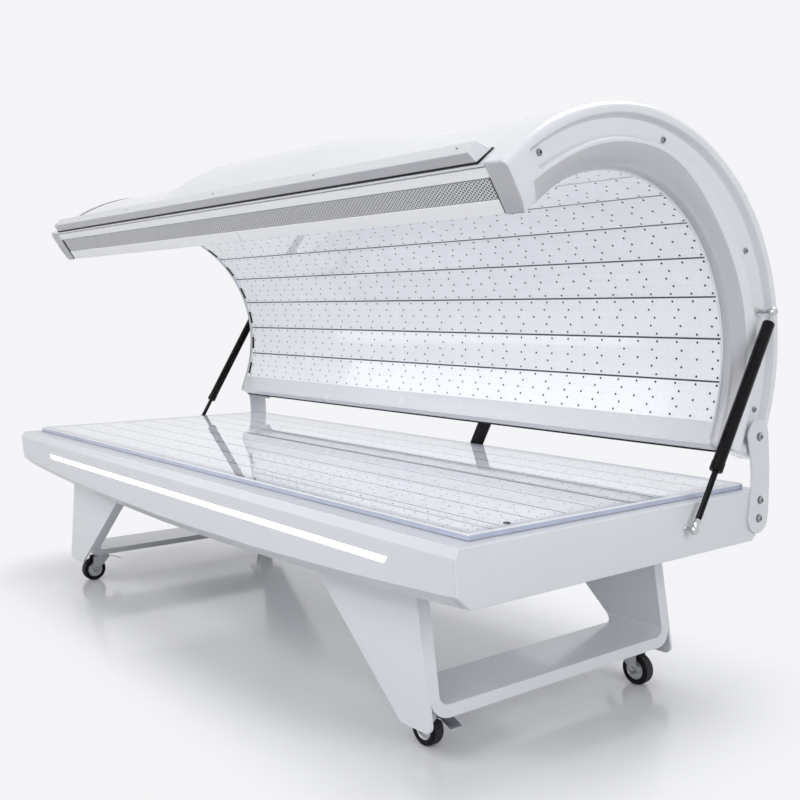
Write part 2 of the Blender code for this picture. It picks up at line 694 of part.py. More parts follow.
def make_caster(place, x, y, turn):
    """A plate fixed under the leg, and the swivelling fork with its wheel and brake pedal."""
    top = CASTER_HEIGHT - GAP
    length, width, sheet = CASTER_PLATE
    plate_name = "caster_plate_" + place
    low = (x - length / 2, y - width / 2, top - sheet)
    high = (x + length / 2, y + width / 2, top)
    plate = add_piece(plate_name, box_mesh(plate_name, low, high), ZINC)
    race_top = top - sheet - BOSS_HEIGHT - GAP
    boss_top = BOSS_HEIGHT + WELD_LAP
    boss = [(0, boss_top), (RACE_RADIUS, boss_top), (RACE_RADIUS, 0), (0, 0)]
    seat = Matrix.Translation((x, y, race_top + GAP))
    boss_name = "caster_boss_" + place
    boolean(plate, add_cutter(boss_name, turned_mesh(boss_name, boss, ROUND_STEPS, seat)), "UNION")

    swivel = add_empty("caster_swivel_" + place, (x, y, 0.0), math.radians(turn))
    placing = Matrix.Translation((x, y, 0.0)) @ Matrix.Rotation(math.radians(turn), 4, "Z")
    race_low = race_top - RACE_HEIGHT
    race = [(0, race_top), (RACE_RADIUS, race_top), (RACE_RADIUS, race_low), (0, race_low)]
    fork_name = "caster_fork_" + place
    fork = add_piece(fork_name, turned_mesh(fork_name, race, ROUND_STEPS, placing), ZINC, swivel)
    axle = (TRAIL, AXLE_Z)
    pedal_z = race_low - PEDAL_BELOW_RACE - PEDAL_SHEET / 2
    arm = [(-FORK_FRONT, race_low + WELD_LAP), (-FORK_FRONT, pedal_z - PEDAL_SHEET)]
    arm += arc_points(axle, FORK_ROUNDING, 180, 360, 8)
    arm += [(FORK_REAR, race_low + WELD_LAP)]
    for end, sign in (("a", -1), ("b", 1)):
        y_low, y_high = sorted((sign * FORK_INSIDE / 2, sign * (FORK_INSIDE / 2 + FORK_SHEET)))
        arm_name = f"fork_arm_{end}_{place}"
        mesh = outline_mesh(arm_name, [arm], XZ_PLANE, y_low, y_high)
        mesh.transform(placing)
        boolean(fork, add_cutter(arm_name, mesh), "UNION")
    half = FORK_INSIDE / 2 + FORK_SHEET / 2
    pin = [(0, half), (AXLE_RADIUS, half), (AXLE_RADIUS, -half), (0, -half)]
    pin_name = "axle_" + place
    at_axle = placing @ Matrix.Translation((TRAIL, 0.0, AXLE_Z)) @ ALONG_Y
    boolean(fork, add_cutter(pin_name, turned_mesh(pin_name, pin, ROUND_STEPS, at_axle)), "UNION")

    wheel_name = "caster_wheel_" + place
    wheel = turned_mesh(wheel_name, wheel_profile(), WHEEL_STEPS, ALONG_Y, closed=True)
    obj = add_piece(wheel_name, wheel, RUBBER)
    obj.parent = swivel
    obj.location = (TRAIL, 0.0, AXLE_Z)

    pedal_name = "caster_brake_" + place
    pedal = outline_mesh(pedal_name, [pedal_profile()], XZ_PLANE, -FORK_INSIDE / 2 + GAP, FORK_INSIDE / 2 - GAP)
    obj = add_piece(pedal_name, pedal, ZINC)
    obj.parent = swivel
    obj.location = (-PEDAL_PIVOT, 0.0, pedal_z)


def wheel_profile():
    """Half section of the wheel: rounded tyre, hub and bore."""
    half, hub = WHEEL_WIDTH / 2, FORK_INSIDE / 2 - GAP
    bore = AXLE_RADIUS + PIVOT_CLEARANCE
    shoulder = half * 0.45
    web = WHEEL_RADIUS * 0.66
    upper = [(bore, hub), (HUB_RADIUS, hub), (HUB_RADIUS, shoulder), (web, shoulder), (web, half)]
    crown = [(WHEEL_RADIUS - half * 0.35, half), (WHEEL_RADIUS, half * 0.55)]
    down = upper + crown
    return down + [(radius, -height) for radius, height in reversed(down)]


def pedal_profile():
    """Side view of the brake pedal about its pivot: a flat tail, then a tread that bends down."""
    half = PEDAL_SHEET / 2
    upper = [(half, half), (-PEDAL_BEND, half), (-PEDAL_REACH, half - PEDAL_DROP)]
    lower = [(-PEDAL_REACH, -half - PEDAL_DROP), (-PEDAL_BEND, -half), (half, -half)]
    return upper + lower


def make_running_gear():
    for side, sign in (("left", -1), ("right", 1)):
        make_leg(side, sign)
        for end, y in (("front", LEG_FRONT_Y + CASTER_INSET_Y), ("rear", LEG_REAR_Y - CASTER_INSET_Y)):
            place = f"{end}_{side}"
            make_caster(place, sign * CASTER_X, y, CASTER_TURNS[place])


def cap_section(outer, inner, part, sign):
    """One section of an end cap, from its outer back edge over the face to its inner back edge."""
    from_start, to_end = (part - RECESS_START) / RECESS_START, (RECESS_END - part) / RECESS_START
    grow = min(1.0, max(0.0, from_start), max(0.0, to_end))
    sunk = CAP_FACE_X - RECESS_DEPTH * grow
    width = math.dist(outer, inner)
    lip = CAP_LIP / width
    recess = RECESS_OUTER[0] + (RECESS_OUTER[1] - RECESS_OUTER[0]) * part
    wall = RECESS_DEPTH / width
    points = (
        (0.0, CAP_BACK_X),
        (0.0, CAP_FACE_X - CAP_LIP),
        (lip * 0.3, CAP_FACE_X - CAP_LIP * 0.3),
        (lip, CAP_FACE_X),
        (recess, CAP_FACE_X),
        (recess + wall, sunk),
        (RECESS_INNER - wall, sunk),
        (RECESS_INNER, CAP_FACE_X),
        (RECESS_INNER + wall, CAP_FACE_X - RECESS_DEPTH / 4),
        (1.0 - lip / 4, RIM_FACE_X),
        (1.0, RIM_FACE_X - CAP_LIP / 4),
        (1.0, CAP_BACK_X),
    )
    return [
        (sign * x, outer[0] + (inner[0] - outer[0]) * t, outer[1] + (inner[1] - outer[1]) * t)
        for t, x in points
    ]


def make_caps(canopy):
    """The C-shaped end caps, bored for the hinge pivots."""
    outer = spread(outer_line(), CAP_STATIONS)
    inner = spread(inner_line(), CAP_STATIONS)
    for side, sign in (("left", -1), ("right", 1)):
        sections = [
            cap_section(a, b, i / CAP_STATIONS, sign) for i, (a, b) in enumerate(zip(outer, inner))
        ]
        name = "canopy_cap_" + side
        cap = add_piece(name, loft_mesh(name, sections), WHITE, canopy)
        radius = PIVOT_RADIUS + PIVOT_CLEARANCE
        deep = HINGE_INNER_X - PIVOT_LENGTH - WELD_LAP
        reach = HINGE_INNER_X - deep
        bore = [(0, reach), (radius, reach), (radius, 0), (0, 0)]
        at_pivot = Matrix.Translation((sign * deep, HINGE_Y, HINGE_Z)) @ (
            ALONG_X if sign > 0 else ALONG_X.inverted()
        )
        bore_name = "pivot_bore_" + side
        boolean(cap, add_cutter(bore_name, turned_mesh(bore_name, bore, ROUND_STEPS, at_pivot)), "DIFFERENCE")


def rise(part):
    """A quarter wave from 0 to 1 that starts with a crease and ends level."""
    return math.sin(math.pi / 2 * min(1.0, max(0.0, part)))


def hood_lift(x, distance):
    """How far the hood raises the roof, at a place along the bed and at a distance along the section."""
    left = rise((x - HOOD_FROM) / (HOOD_FULL[0] - HOOD_FROM))
    right = min(1.0, max(0.0, (HOOD_TO - x) / (HOOD_TO - HOOD_FULL[1])))
    front = rise((distance - HOOD_FRONT) / HOOD_RISE)
    rear = rise((HOOD_REAR - distance) / HOOD_RISE)
    return HOOD_HEIGHT * left * right * front * rear


def steps_between(start, end, count):
    """Evenly spaced values from start up to, and without, end."""
    return [start + (end - start) * i / count for i in range(count)]


def make_shell(canopy, half):
    """The roof: one sheet bent along the outer line, with the hood raised in it."""
    line = outer_line(SHELL_INSET)
    length = line_length(line)
    across = [-half, *steps_between(HOOD_FROM, HOOD_FULL[0], HOOD_STEPS), HOOD_FULL[0]]
    across += [*steps_between(HOOD_FULL[1], HOOD_TO, HOOD_STEPS), HOOD_TO, half]
    crest = HOOD_FRONT + HOOD_RISE, HOOD_REAR - HOOD_RISE
    downs = steps_between(0.0, HOOD_FRONT, math.ceil(HOOD_FRONT / SHELL_STEP))
    downs += steps_between(HOOD_FRONT, crest[0], HOOD_STEPS)
    downs += steps_between(*crest, math.ceil((crest[1] - crest[0]) / SHELL_STEP))
    downs += steps_between(crest[1], HOOD_REAR, HOOD_STEPS)
    downs += steps_between(HOOD_REAR, length, math.ceil((length - HOOD_REAR) / SHELL_STEP)) + [length]

    mesh = bpy.data.meshes.new("canopy_shell")
    build = bmesh.new()
    bmesh.ops.create_grid(build, x_segments=len(across) - 1, y_segments=len(downs) - 1, size=1.0)
    for vertex in build.verts:
        x = across[round((vertex.co.x + 1) / 2 * (len(across) - 1))]
        distance = downs[round((vertex.co.y + 1) / 2 * (len(downs) - 1))]
        y, z = Vector(along(line, distance)) + outward(line, distance) * hood_lift(x, distance)
        vertex.co = (x, y, z)
    build.to_mesh(mesh)
    build.free()
    shell = add_piece("canopy_shell", mesh, WHITE, canopy)
    thicken = shell.modifiers.new("thickness", "SOLIDIFY")
    thicken.thickness = SHELL_THICKNESS
    thicken.offset = -1.0
    thicken.use_even_offset = True


def make_canopy_skin(canopy):
    """The outer shell, the rear rail that closes it below, and the LED boards inside."""
    half = CAP_BACK_X - GAP
    make_shell(canopy, half)

    top, foot = inner_line(tail=BOARD_TAIL)[-1], inner_line()[-1]
    flange_end = outer_line(SHELL_INSET + SHELL_THICKNESS)[-1][0] - SEAM
    lean = (top[0] - foot[0]) / (top[1] - foot[1])
    low = foot[1]
    high = top[1] - SEAM
    rail = [
        (foot[0], low),
        (flange_end, low),
        (flange_end, low + RAIL_FLANGE),
        (foot[0] + RAIL_THICKNESS + lean * RAIL_FLANGE, low + RAIL_FLANGE),
        (top[0] + RAIL_THICKNESS - lean * SEAM, high),
        (top[0] - lean * SEAM, high),
    ]
    add_piece("rear_rail", outline_mesh("rear_rail", [rail], YZ_PLANE, -half, half), WHITE, canopy)

    line = inner_line(tail=BOARD_TAIL)
    length = line_length(line)
    pitch = (length - BOARD_START - LAST_BOARD) / (CANOPY_BOARDS - 1)
    seams = [along(line, BOARD_START + pitch * i) for i in range(CANOPY_BOARDS)] + [line[-1]]
    for i, (start, end) in enumerate(zip(seams, seams[1:])):
        name = f"canopy_led_board_{i + 1}"
        step = Vector(end) - Vector(start)
        step.normalize()
        out = Vector((-step.y, step.x))
        first, last = Vector(start) + step * SEAM / 2, Vector(end) - step * SEAM / 2
        back_first, back_last = first + out * BOARD_THICKNESS, last + out * BOARD_THICKNESS
        outline = [tuple(first), tuple(last), tuple(back_last), tuple(back_first)]
        add_piece(name, outline_mesh(name, [outline], YZ_PLANE, -half, half), LED_WHITE, canopy)


def front_frame():
    """The front lip's frame: its top corner, the way down its face and the way into the canopy."""
    top, low = Vector(OUTER_START), Vector(INNER_START)
    down = (low - top).normalized()
    inwards = Vector((-down.y, down.x))
    return top, down, inwards, (low - top).length


def make_front(canopy):
    """The front profile with its channel, the grille in the channel and the handle bar above."""
    top, down, inwards, length = front_frame()
    half = CAP_BACK_X - GAP

    def place(along_face, depth):
        return tuple(top + down * along_face + inwards * (depth + PANEL_RECESS))

    outline = [
        place(PANEL_TOP, 0),
        place(GRILLE_FROM, 0),
        place(GRILLE_FROM, GRILLE_SET_IN),
        place(GRILLE_TO, GRILLE_SET_IN),
        place(GRILLE_TO, 0),
        place(length, 0),
        place(length, PANEL_DEPTH),
        place(PANEL_TOP, PANEL_DEPTH),
    ]
    add_piece("front_panel", outline_mesh("front_panel", [outline], YZ_PLANE, -half, half), WHITE, canopy)

    near, far = GRILLE_SET_IN - GAP - GRILLE_SHEET, GRILLE_SET_IN - GAP
    first, last = GRILLE_FROM + GAP, GRILLE_TO - GAP
    grille = [place(first, near), place(last, near), place(last, far), place(first, far)]
    add_piece("front_grille", outline_mesh("front_grille", [grille], YZ_PLANE, -half, half), ALLOY, canopy)

    tilt = math.radians(HANDLE_TILT)
    slope = Vector((math.cos(tilt), math.sin(tilt)))
    raised = Vector((-slope.y, slope.x))
    seat = Vector(along(outer_line(SHELL_INSET), HANDLE_SEAT)) + raised * GAP

    def corner(forward, height):
        return seat + slope * (forward - HANDLE_BASE) + raised * height

    section = (
        (corner(0.0, 0.0), HANDLE_HALF_BASE),
        (corner(HANDLE_BASE, 0.0), HANDLE_HALF_BASE),
        (corner(HANDLE_TOP[1], HANDLE_HEIGHT[1]), HANDLE_HALF_TOP),
        (corner(HANDLE_TOP[0], HANDLE_HEIGHT[0]), HANDLE_HALF_TOP),
    )
    ends = [[(sign * half_length, y, z) for (y, z), half_length in section] for sign in (-1, 1)]
    handle = add_piece("handle_bar", loft_mesh("handle_bar", ends), WHITE, canopy)
    bevel(handle, HANDLE_ROUNDING)


def hinge_outline():
    """A link plate between the pivot and the base, with round ends and a bowed waist."""
    pivot, foot = Vector((HINGE_Y, HINGE_Z)), Vector(HINGE_FOOT)
    steps = 8

    def side(sign):
        points = []
        for i in range(1, steps):
            part = i / steps
            bow = HINGE_BOW * math.sin(math.pi * part)
            centre = pivot.lerp(foot, part)
            points.append((centre.x + bow + sign * (HINGE_LOBE - bow / 2), centre.y))
        return points

    outline = arc_points(pivot, HINGE_LOBE, 0, 180, 12)
    outline += side(-1)
    outline += arc_points(foot, HINGE_LOBE, 180, 360, 12)
    return outline + side(1)[::-1]


def make_hinges():
    """The hinge plates bolted to the end panels, each with its pivot."""
    for side, sign in (("left", -1), ("right", 1)):
        name = "hinge_plate_" + side
        x_low, x_high = sorted((sign * HINGE_INNER_X, sign * (HINGE_INNER_X + HINGE_PLATE)))
        plate = add_piece(name, outline_mesh(name, [hinge_outline()], YZ_PLANE, x_low, x_high), WHITE)
        shoulder = HINGE_INNER_X - CAP_FACE_X - SEAM
        pin = [
            (0, WELD_LAP),
            (SHOULDER_RADIUS, WELD_LAP),
            (SHOULDER_RADIUS, -shoulder),
            (PIVOT_RADIUS, -shoulder),
            (PIVOT_RADIUS, -PIVOT_LENGTH),
            (0, -PIVOT_LENGTH),
        ]
        placing = Matrix.Translation((sign * HINGE_INNER_X, HINGE_Y, HINGE_Z)) @ (
            ALONG_X if sign > 0 else ALONG_X.inverted()
        )
        pin_name = "pivot_pin_" + side
        boolean(plate, add_cutter(pin_name, turned_mesh(pin_name, pin, ROUND_STEPS, placing)), "UNION")


def ball_points(height, radius, neck, steps=6, from_top=True):
    """The profile of a ball on a neck, from its pole to where the neck leaves it."""
    lowest = math.degrees(math.asin(neck / radius)) - 90
    points = arc_points((0.0, height), radius, 90, lowest, steps)
    return points if from_top else [(r, 2 * height - z) for r, z in reversed(points)]


def make_stud(name, sign, face_x, place, parent):
    """A ball stud's flange and neck, up to just short of the ball."""
    flange_radius, flange = STUD_FLANGE
    start = face_x + GAP
    reach = STRUT_X - BALL_RADIUS - GAP - start
    profile = [(0, reach), (STUD_NECK, reach), (STUD_NECK, flange)]
    profile += [(flange_radius, flange), (flange_radius, 0), (0, 0)]
    placing = Matrix.Translation((sign * start, *place)) @ (ALONG_X if sign > 0 else ALONG_X.inverted())
    add_piece(name, turned_mesh(name, profile, ROUND_STEPS, placing), CHROME, parent)


def make_struts(canopy):
    """Gas struts outside the end caps: a rod on the base's ball and a cylinder under the canopy's."""
    low, high = Vector(STRUT_LOW), Vector(STRUT_HIGH)
    length = (high - low).length
    lean = -math.atan2(high.x - low.x, high.y - low.y)
    mouth = FITTING_LENGTH + ROD_EXPOSED
    rod_end = mouth + ROD_INSIDE
    piston_radius, piston = PISTON
    stroke = length - closed_strut_length()
    rod = [(0, rod_end), (piston_radius, rod_end), (piston_radius, rod_end - piston)]
    rod += [(ROD_RADIUS, rod_end - piston), (ROD_RADIUS, FITTING_LENGTH), (FITTING_RADIUS, FITTING_LENGTH)]
    rod += ball_points(0.0, BALL_RADIUS, FITTING_RADIUS, from_top=False)

    cylinder_top = length - TOP_FITTING
    bore_top = rod_end + stroke + BORE_SPARE
    guide = mouth + CYLINDER_GUIDE
    guide_bore = ROD_RADIUS + PIVOT_CLEARANCE
    cylinder = ball_points(length, BALL_RADIUS, TOP_FITTING_RADIUS)
    cylinder += [(TOP_FITTING_RADIUS, cylinder_top), (CYLINDER_RADIUS, cylinder_top), (CYLINDER_RADIUS, mouth)]
    cylinder += [(guide_bore, mouth), (guide_bore, guide)]
    cylinder += [(CYLINDER_BORE, guide), (CYLINDER_BORE, bore_top), (0, bore_top)]

    for side, sign in (("left", -1), ("right", 1)):
        swing = add_empty("strut_swing_" + side, (sign * STRUT_X, *STRUT_LOW))
        swing.rotation_euler = (lean, 0.0, 0.0)
        for name, profile, material in (
            ("strut_rod_" + side, rod, CHROME),
            ("strut_cylinder_" + side, cylinder, BLACK),
        ):
            obj = add_piece(name, turned_mesh(name, profile, ROUND_STEPS, Matrix.Identity(4)), material)
            obj.parent = swing
        make_stud("base_stud_" + side, sign, HALF, STRUT_LOW, None)
        make_stud("canopy_stud_" + side, sign, CAP_FACE_X - RECESS_DEPTH, STRUT_HIGH, canopy)


def closed_strut_length():
    """Distance between the strut's balls with the canopy shut."""
    turn = Matrix.Rotation(math.radians(CLOSING_ANGLE), 2)
    pivot = Vector((HINGE_Y, HINGE_Z))
    shut = turn @ (Vector(STRUT_HIGH) - pivot) + pivot
    return (shut - Vector(STRUT_LOW)).length


def make_strap():
    """The flat cable strap that hangs between the rear rail and the rear rim of the deck."""
    foot_z = DECK_Z + GAP
    top_z = inner_line()[-1][1] - GAP
    front, back = [], []
    for i in range(STRAP_STEPS + 1):
        part = i / STRAP_STEPS
        ease = part * part * (3 - 2 * part)
        y = STRAP_FOOT_Y + (STRAP_TOP_Y - STRAP_FOOT_Y) * ease
        z = foot_z + (top_z - foot_z) * part
        front.append((y - STRAP_THICKNESS / 2, z))
        back.append((y + STRAP_THICKNESS / 2, z))
    strap = outline_mesh("cable_strap", [front + back[::-1]], YZ_PLANE, -STRAP_WIDTH / 2, STRAP_WIDTH / 2)
    slant = (STRAP_TOP_X - STRAP_FOOT_X) / (top_z - foot_z)
    shear = Matrix.Identity(4)
    shear[0][2] = slant
    shear[0][3] = STRAP_FOOT_X - slant * foot_z
    strap.transform(shear)
    add_piece("cable_strap", strap, BLACK_PLASTIC)


def main():
    make_base_box()
    make_deck()
    make_light_strip()
    make_electrics()
    make_running_gear()
    canopy = add_empty("canopy_hinge", (0.0, HINGE_Y, HINGE_Z))
    make_caps(canopy)
    make_canopy_skin(canopy)
    make_front(canopy)
    make_hinges()
    make_struts(canopy)
    make_strap()


main()
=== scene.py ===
"""The looks of the clamshell light therapy bed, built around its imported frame. Metres, +Z up."""

from math import atan2, ceil, copysign, cos, pi, radians, sin, sqrt

import bmesh
import bpy
import numpy as np
from mathutils import Matrix, Vector


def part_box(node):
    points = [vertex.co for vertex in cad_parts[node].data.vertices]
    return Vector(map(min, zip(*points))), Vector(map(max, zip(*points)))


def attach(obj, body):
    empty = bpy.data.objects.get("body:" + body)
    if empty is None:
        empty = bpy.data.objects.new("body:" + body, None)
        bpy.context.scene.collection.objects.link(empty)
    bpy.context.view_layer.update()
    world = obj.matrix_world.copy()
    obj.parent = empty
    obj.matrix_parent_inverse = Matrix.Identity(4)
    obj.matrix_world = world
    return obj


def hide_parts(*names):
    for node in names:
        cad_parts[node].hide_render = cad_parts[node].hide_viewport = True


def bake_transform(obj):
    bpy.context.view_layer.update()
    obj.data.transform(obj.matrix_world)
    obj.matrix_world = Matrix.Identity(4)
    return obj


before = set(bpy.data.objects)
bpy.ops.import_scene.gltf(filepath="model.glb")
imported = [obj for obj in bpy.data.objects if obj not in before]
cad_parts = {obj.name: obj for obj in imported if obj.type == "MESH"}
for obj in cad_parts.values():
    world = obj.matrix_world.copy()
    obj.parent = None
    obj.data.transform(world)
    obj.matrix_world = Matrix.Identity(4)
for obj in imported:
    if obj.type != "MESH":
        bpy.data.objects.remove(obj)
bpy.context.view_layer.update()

SIDES = (("left", -1), ("right", 1))
BASE_HALF = 0.970

# Section of the canopy, as lines from the front lip over the top to the foot
OUTER_START, OUTER_HEADING = (-0.3443, 1.0178), 42.5
OUTER_ARCS, OUTER_TAIL = ((0.488, 78.7), (0.4245, 79.2)), 0.030
INNER_START, INNER_HEADING = (-0.2919, 0.9409), 33.5
INNER_ARCS, INNER_TAIL = ((0.777, 11.3), (0.3476, 132.4)), 0.075
CAP_FACE, CAP_BACK, CAP_RIM_FACE = 0.965, 0.916, 0.934
INSIDE = CAP_BACK - 0.0003
SHELL_INSET, SHELL_THICKNESS = 0.0015, 0.004
BOARD_STEP = 5.0


def arc_chain(start, heading, arcs, tail, inset=0.0, step=1.0):
    """Points of arcs that follow on from each other turning right, then a straight tail."""
    turn = radians(heading)
    y, z = start[0] + inset * sin(turn), start[1] - inset * cos(turn)
    points = [(y, z)]
    for radius, sweep in arcs:
        steps = ceil(sweep / step)
        part = radians(sweep) / steps
        chord = 2 * (radius - inset) * sin(part / 2)
        for _ in range(steps):
            y += chord * cos(turn - part / 2)
            z += chord * sin(turn - part / 2)
            turn -= part
            points.append((y, z))
    if tail:
        points.append((y + tail * cos(turn), z + tail * sin(turn)))
    return np.array(points)


class Line:
    """A line of points in (y, z) that can be asked for places along it."""

    def __init__(self, points):
        self.points = points
        self.marks = np.concatenate(([0.0], np.cumsum(np.hypot(*np.diff(points, axis=0).T))))
        self.length = float(self.marks[-1])

    def at(self, distance):
        return np.array([np.interp(distance, self.marks, self.points[:, k]) for k in (0, 1)])

    def out(self, distance, reach=0.003):
        """Unit vector to the left of the line."""
        ahead = self.at(min(self.length, distance + reach))
        way = ahead - self.at(max(0.0, distance - reach))
        way /= np.hypot(*way)
        return np.array((-way[1], way[0]))


def outer_line(tail, inset=0.0, step=1.0):
    return Line(arc_chain(OUTER_START, OUTER_HEADING, OUTER_ARCS, tail, inset, step))


def inner_line(tail, step=1.0):
    return Line(arc_chain(INNER_START, INNER_HEADING, INNER_ARCS, tail, step=step))


OUTER, INNER = outer_line(OUTER_TAIL), inner_line(INNER_TAIL)


# Materials

NOISE_LOW, NOISE_HIGH = 0.3, 0.7


def node_of(tree, kind, wires=None, **values):
    """Adds a node. An underscore in a value's name stands for a space, and wires gives inputs their sources.

    A source is an output, or a node whose first output is meant.
    """
    node = tree.nodes.new(kind)
    for key, value in values.items():
        socket = key.replace("_", " ")
        if socket in node.inputs:
            node.inputs[socket].default_value = value
        else:
            setattr(node, key, value)
    wire(tree, node, wires or {})
    return node


def wire(tree, node, wires):
    for key, source in wires.items():
        tree.links.new(getattr(source, "outputs", [source])[0], node.inputs[key])


def surface(name, colour, roughness, mottle, metallic=0.0, grain=(60, 0.04), bump=(900, 0.03, 0.0004),
            stretch=(1, 1, 1), coat=(0.0, 0.03), **sockets):
    """A Principled finish with mottled colour, uneven gloss and fine relief.

    mottle is scale and share of the colour, grain is scale and change of roughness, bump is scale, strength and
    distance, and coat is weight and roughness. stretch draws the pattern out along an axis where it is below 1.
    """
    material = bpy.data.materials.new(name)
    material.use_nodes = True
    tree = material.node_tree
    shader = tree.nodes["Principled BSDF"]
    sockets.update(Metallic=metallic, Coat_Weight=coat[0], Coat_Roughness=coat[1])
    for socket, value in sockets.items():
        shader.inputs[socket.replace("_", " ")].default_value = value
    place = node_of(tree, "ShaderNodeTexCoord")
    mapping = node_of(tree, "ShaderNodeMapping", {"Vector": place.outputs["Object"]}, Scale=stretch)

    def noise(scale, detail):
        return node_of(tree, "ShaderNodeTexNoise", {"Vector": mapping}, Scale=scale, Detail=detail)

    ramp = node_of(tree, "ShaderNodeValToRGB", {"Fac": noise(mottle[0], 3.0)})
    for element, spot, sign in zip(ramp.color_ramp.elements, (NOISE_LOW, NOISE_HIGH), (-1, 1)):
        element.position = spot
        element.color = (*(min(1.0, c * (1 + sign * mottle[1])) for c in colour), 1.0)
    spread = node_of(tree, "ShaderNodeMapRange", {"Value": noise(grain[0], 4.0)},
                     From_Min=NOISE_LOW, From_Max=NOISE_HIGH,
                     To_Min=max(0.0, roughness - grain[1]), To_Max=min(1.0, roughness + grain[1]))
    relief = node_of(tree, "ShaderNodeBump", {"Height": noise(bump[0], 2.0)}, Strength=bump[1], Distance=bump[2])
    wire(tree, shader, {"Base Color": ramp, "Roughness": spread, "Normal": relief})
    return material


CALM = {"grain": (20, 0.005), "bump": (30, 0.006, 0.0001)}
SATIN = {"grain": (60, 0.012), "bump": (160, 0.02, 0.0001)}
POWDER = {"mottle": (7, 0.012), "grain": (90, 0.015), "bump": (700, 0.03, 0.00012)}
PLATED = {"grain": (120, 0.05), "bump": (300, 0.02, 0.0001)}
CLEAR = {"grain": (8, 0.006), "bump": (3, 0.01, 0.0004), "Transmission_Weight": 1.0}
DULL = {"Specular_IOR_Level": 0.14}
WHITE, PAINT = (0.785, 0.80, 0.84), (0.765, 0.78, 0.82)

GLOSS = surface("gloss_white", WHITE, 0.20, (5, 0.012), grain=(24, 0.006), bump=(36, 0.008, 0.0001),
                coat=(0.6, 0.06))
# Grey that paints shade on the front faces of the caps and the handle, and colours the real joint line in the front
# panel
PAINTED_SHADE_AND_JOINT_GREY = surface("painted_shade_and_joint_grey", (0.50, 0.505, 0.53), 0.32, (9, 0.02), coat=(0.2, 0.15), **SATIN)
# Darker white that paints shade on the cap's slope down to the opening
SLOPE_PAINTED_SHADE = surface("slope_painted_shade", (0.545, 0.55, 0.58), 0.30, (6, 0.015), coat=(0.3, 0.12), **SATIN)
# Darker white that paints shade on the wall of the cap's recess
GROOVE_PAINTED_SHADE = surface("groove_painted_shade", (0.655, 0.665, 0.70), 0.26, (6, 0.015), coat=(0.4, 0.10), **SATIN)
SHEET = surface("white_powder_coat", PAINT, 0.36, coat=(0.15, 0.25), **POWDER)
LEG = surface("leg_white_paint", PAINT, 0.22, coat=(0.5, 0.06), **POWDER)
PROFILE = surface("white_profile", (0.82, 0.83, 0.85), 0.27, (5, 0.010), coat=(0.3, 0.12), **CALM)
PANEL = surface("panel_white", (0.92, 0.925, 0.945), 0.30, (5, 0.010), **CALM)
HANDLE = surface("handle_white", (0.68, 0.69, 0.725), 0.28, (5, 0.012), grain=(20, 0.004),
                 bump=(30, 0.005, 0.0001), coat=(0.3, 0.12))
# The boards carry a faint painted glow, which lifts their brightness
BOARD_WITH_PAINTED_GLOW = surface("led_board_white", (0.885, 0.895, 0.925), 0.14, (14, 0.02), grain=(50, 0.015),
                bump=(40, 0.02, 0.0004), coat=(0.8, 0.03), Emission_Color=(0.95, 0.965, 1.0, 1.0),
                Emission_Strength=0.13)
LENS_DARK = surface("led_lens", (0.010, 0.010, 0.013), 0.35, (300, 0.3), coat=(0.1, 0.03))
LENS_GREY = surface("bed_lens", (0.075, 0.077, 0.085), 0.35, (300, 0.3), coat=(0.1, 0.03))
LENS_PALE = surface("led_lens_pale", (0.76, 0.77, 0.80), 0.25, (300, 0.03))
SEAM_DARK = surface("seam_dark", (0.060, 0.061, 0.068), 0.5, (120, 0.2))
ALLOY = surface("perforated_alloy", (0.66, 0.665, 0.69), 0.36, (60, 0.02), 0.45, **PLATED)
ZINC = surface("zinc_plate", (0.42, 0.43, 0.455), 0.34, (60, 0.04), 0.85, **PLATED)
CHROME = surface("bright_steel", (0.54, 0.545, 0.56), 0.10, (90, 0.04), 1.0, grain=(160, 0.05))
DARK_CHROME = surface("dark_steel", (0.30, 0.305, 0.32), 0.16, (150, 0.08), 1.0)
# Near black that paints the shade inside the sockets of bolt heads
SOCKET_PAINTED_SHADE = surface("socket_painted_shade", (0.02, 0.02, 0.022), 0.5, (300, 0.2))
BLACK_PAINT = surface("gloss_black_paint", (0.004, 0.004, 0.005), 0.20, (40, 0.3), grain=(120, 0.05),
                      **DULL)
RUBBER = surface("black_rubber", (0.005, 0.005, 0.006), 0.55, (200, 0.25), bump=(900, 0.1, 0.0002), **DULL)
TREAD = surface("tread_rubber", (0.030, 0.030, 0.033), 0.62, (260, 0.3), bump=(500, 0.2, 0.0003),
                Specular_IOR_Level=0.3)
HUB = surface("hub_grey", (0.60, 0.61, 0.635), 0.32, (80, 0.03), 0.3, bump=(300, 0.03, 0.0001))
PLASTIC = surface("black_plastic", (0.010, 0.010, 0.012), 0.45, (150, 0.2), bump=(600, 0.08, 0.0002),
                  Specular_IOR_Level=0.15)
WEBBING = surface("black_webbing", (0.007, 0.007, 0.008), 0.62, (400, 0.35), stretch=(1, 1, 0.25),
                  bump=(1800, 0.5, 0.0006), **DULL)
SUPPLY = surface("supply_case", (0.42, 0.43, 0.44), 0.4, (40, 0.06), 0.8)
DIFFUSER = surface("strip_diffuser", (0.9, 0.9, 0.92), 0.3, (20, 0.01),
                   Emission_Color=(1, 1, 1, 1), Emission_Strength=1.6)
# The underside of the sheet has no reflection of its own, so that the boards under it stay readable
ACRYLIC = surface("clear_acrylic", (0.985, 0.99, 1.0), 0.012, (3, 0.008), IOR=1.49, **CLEAR)
UNDERSIDE = surface("acrylic_underside", (0.99, 0.99, 1.0), 0.012, (3, 0.004), IOR=1.0, **CLEAR)
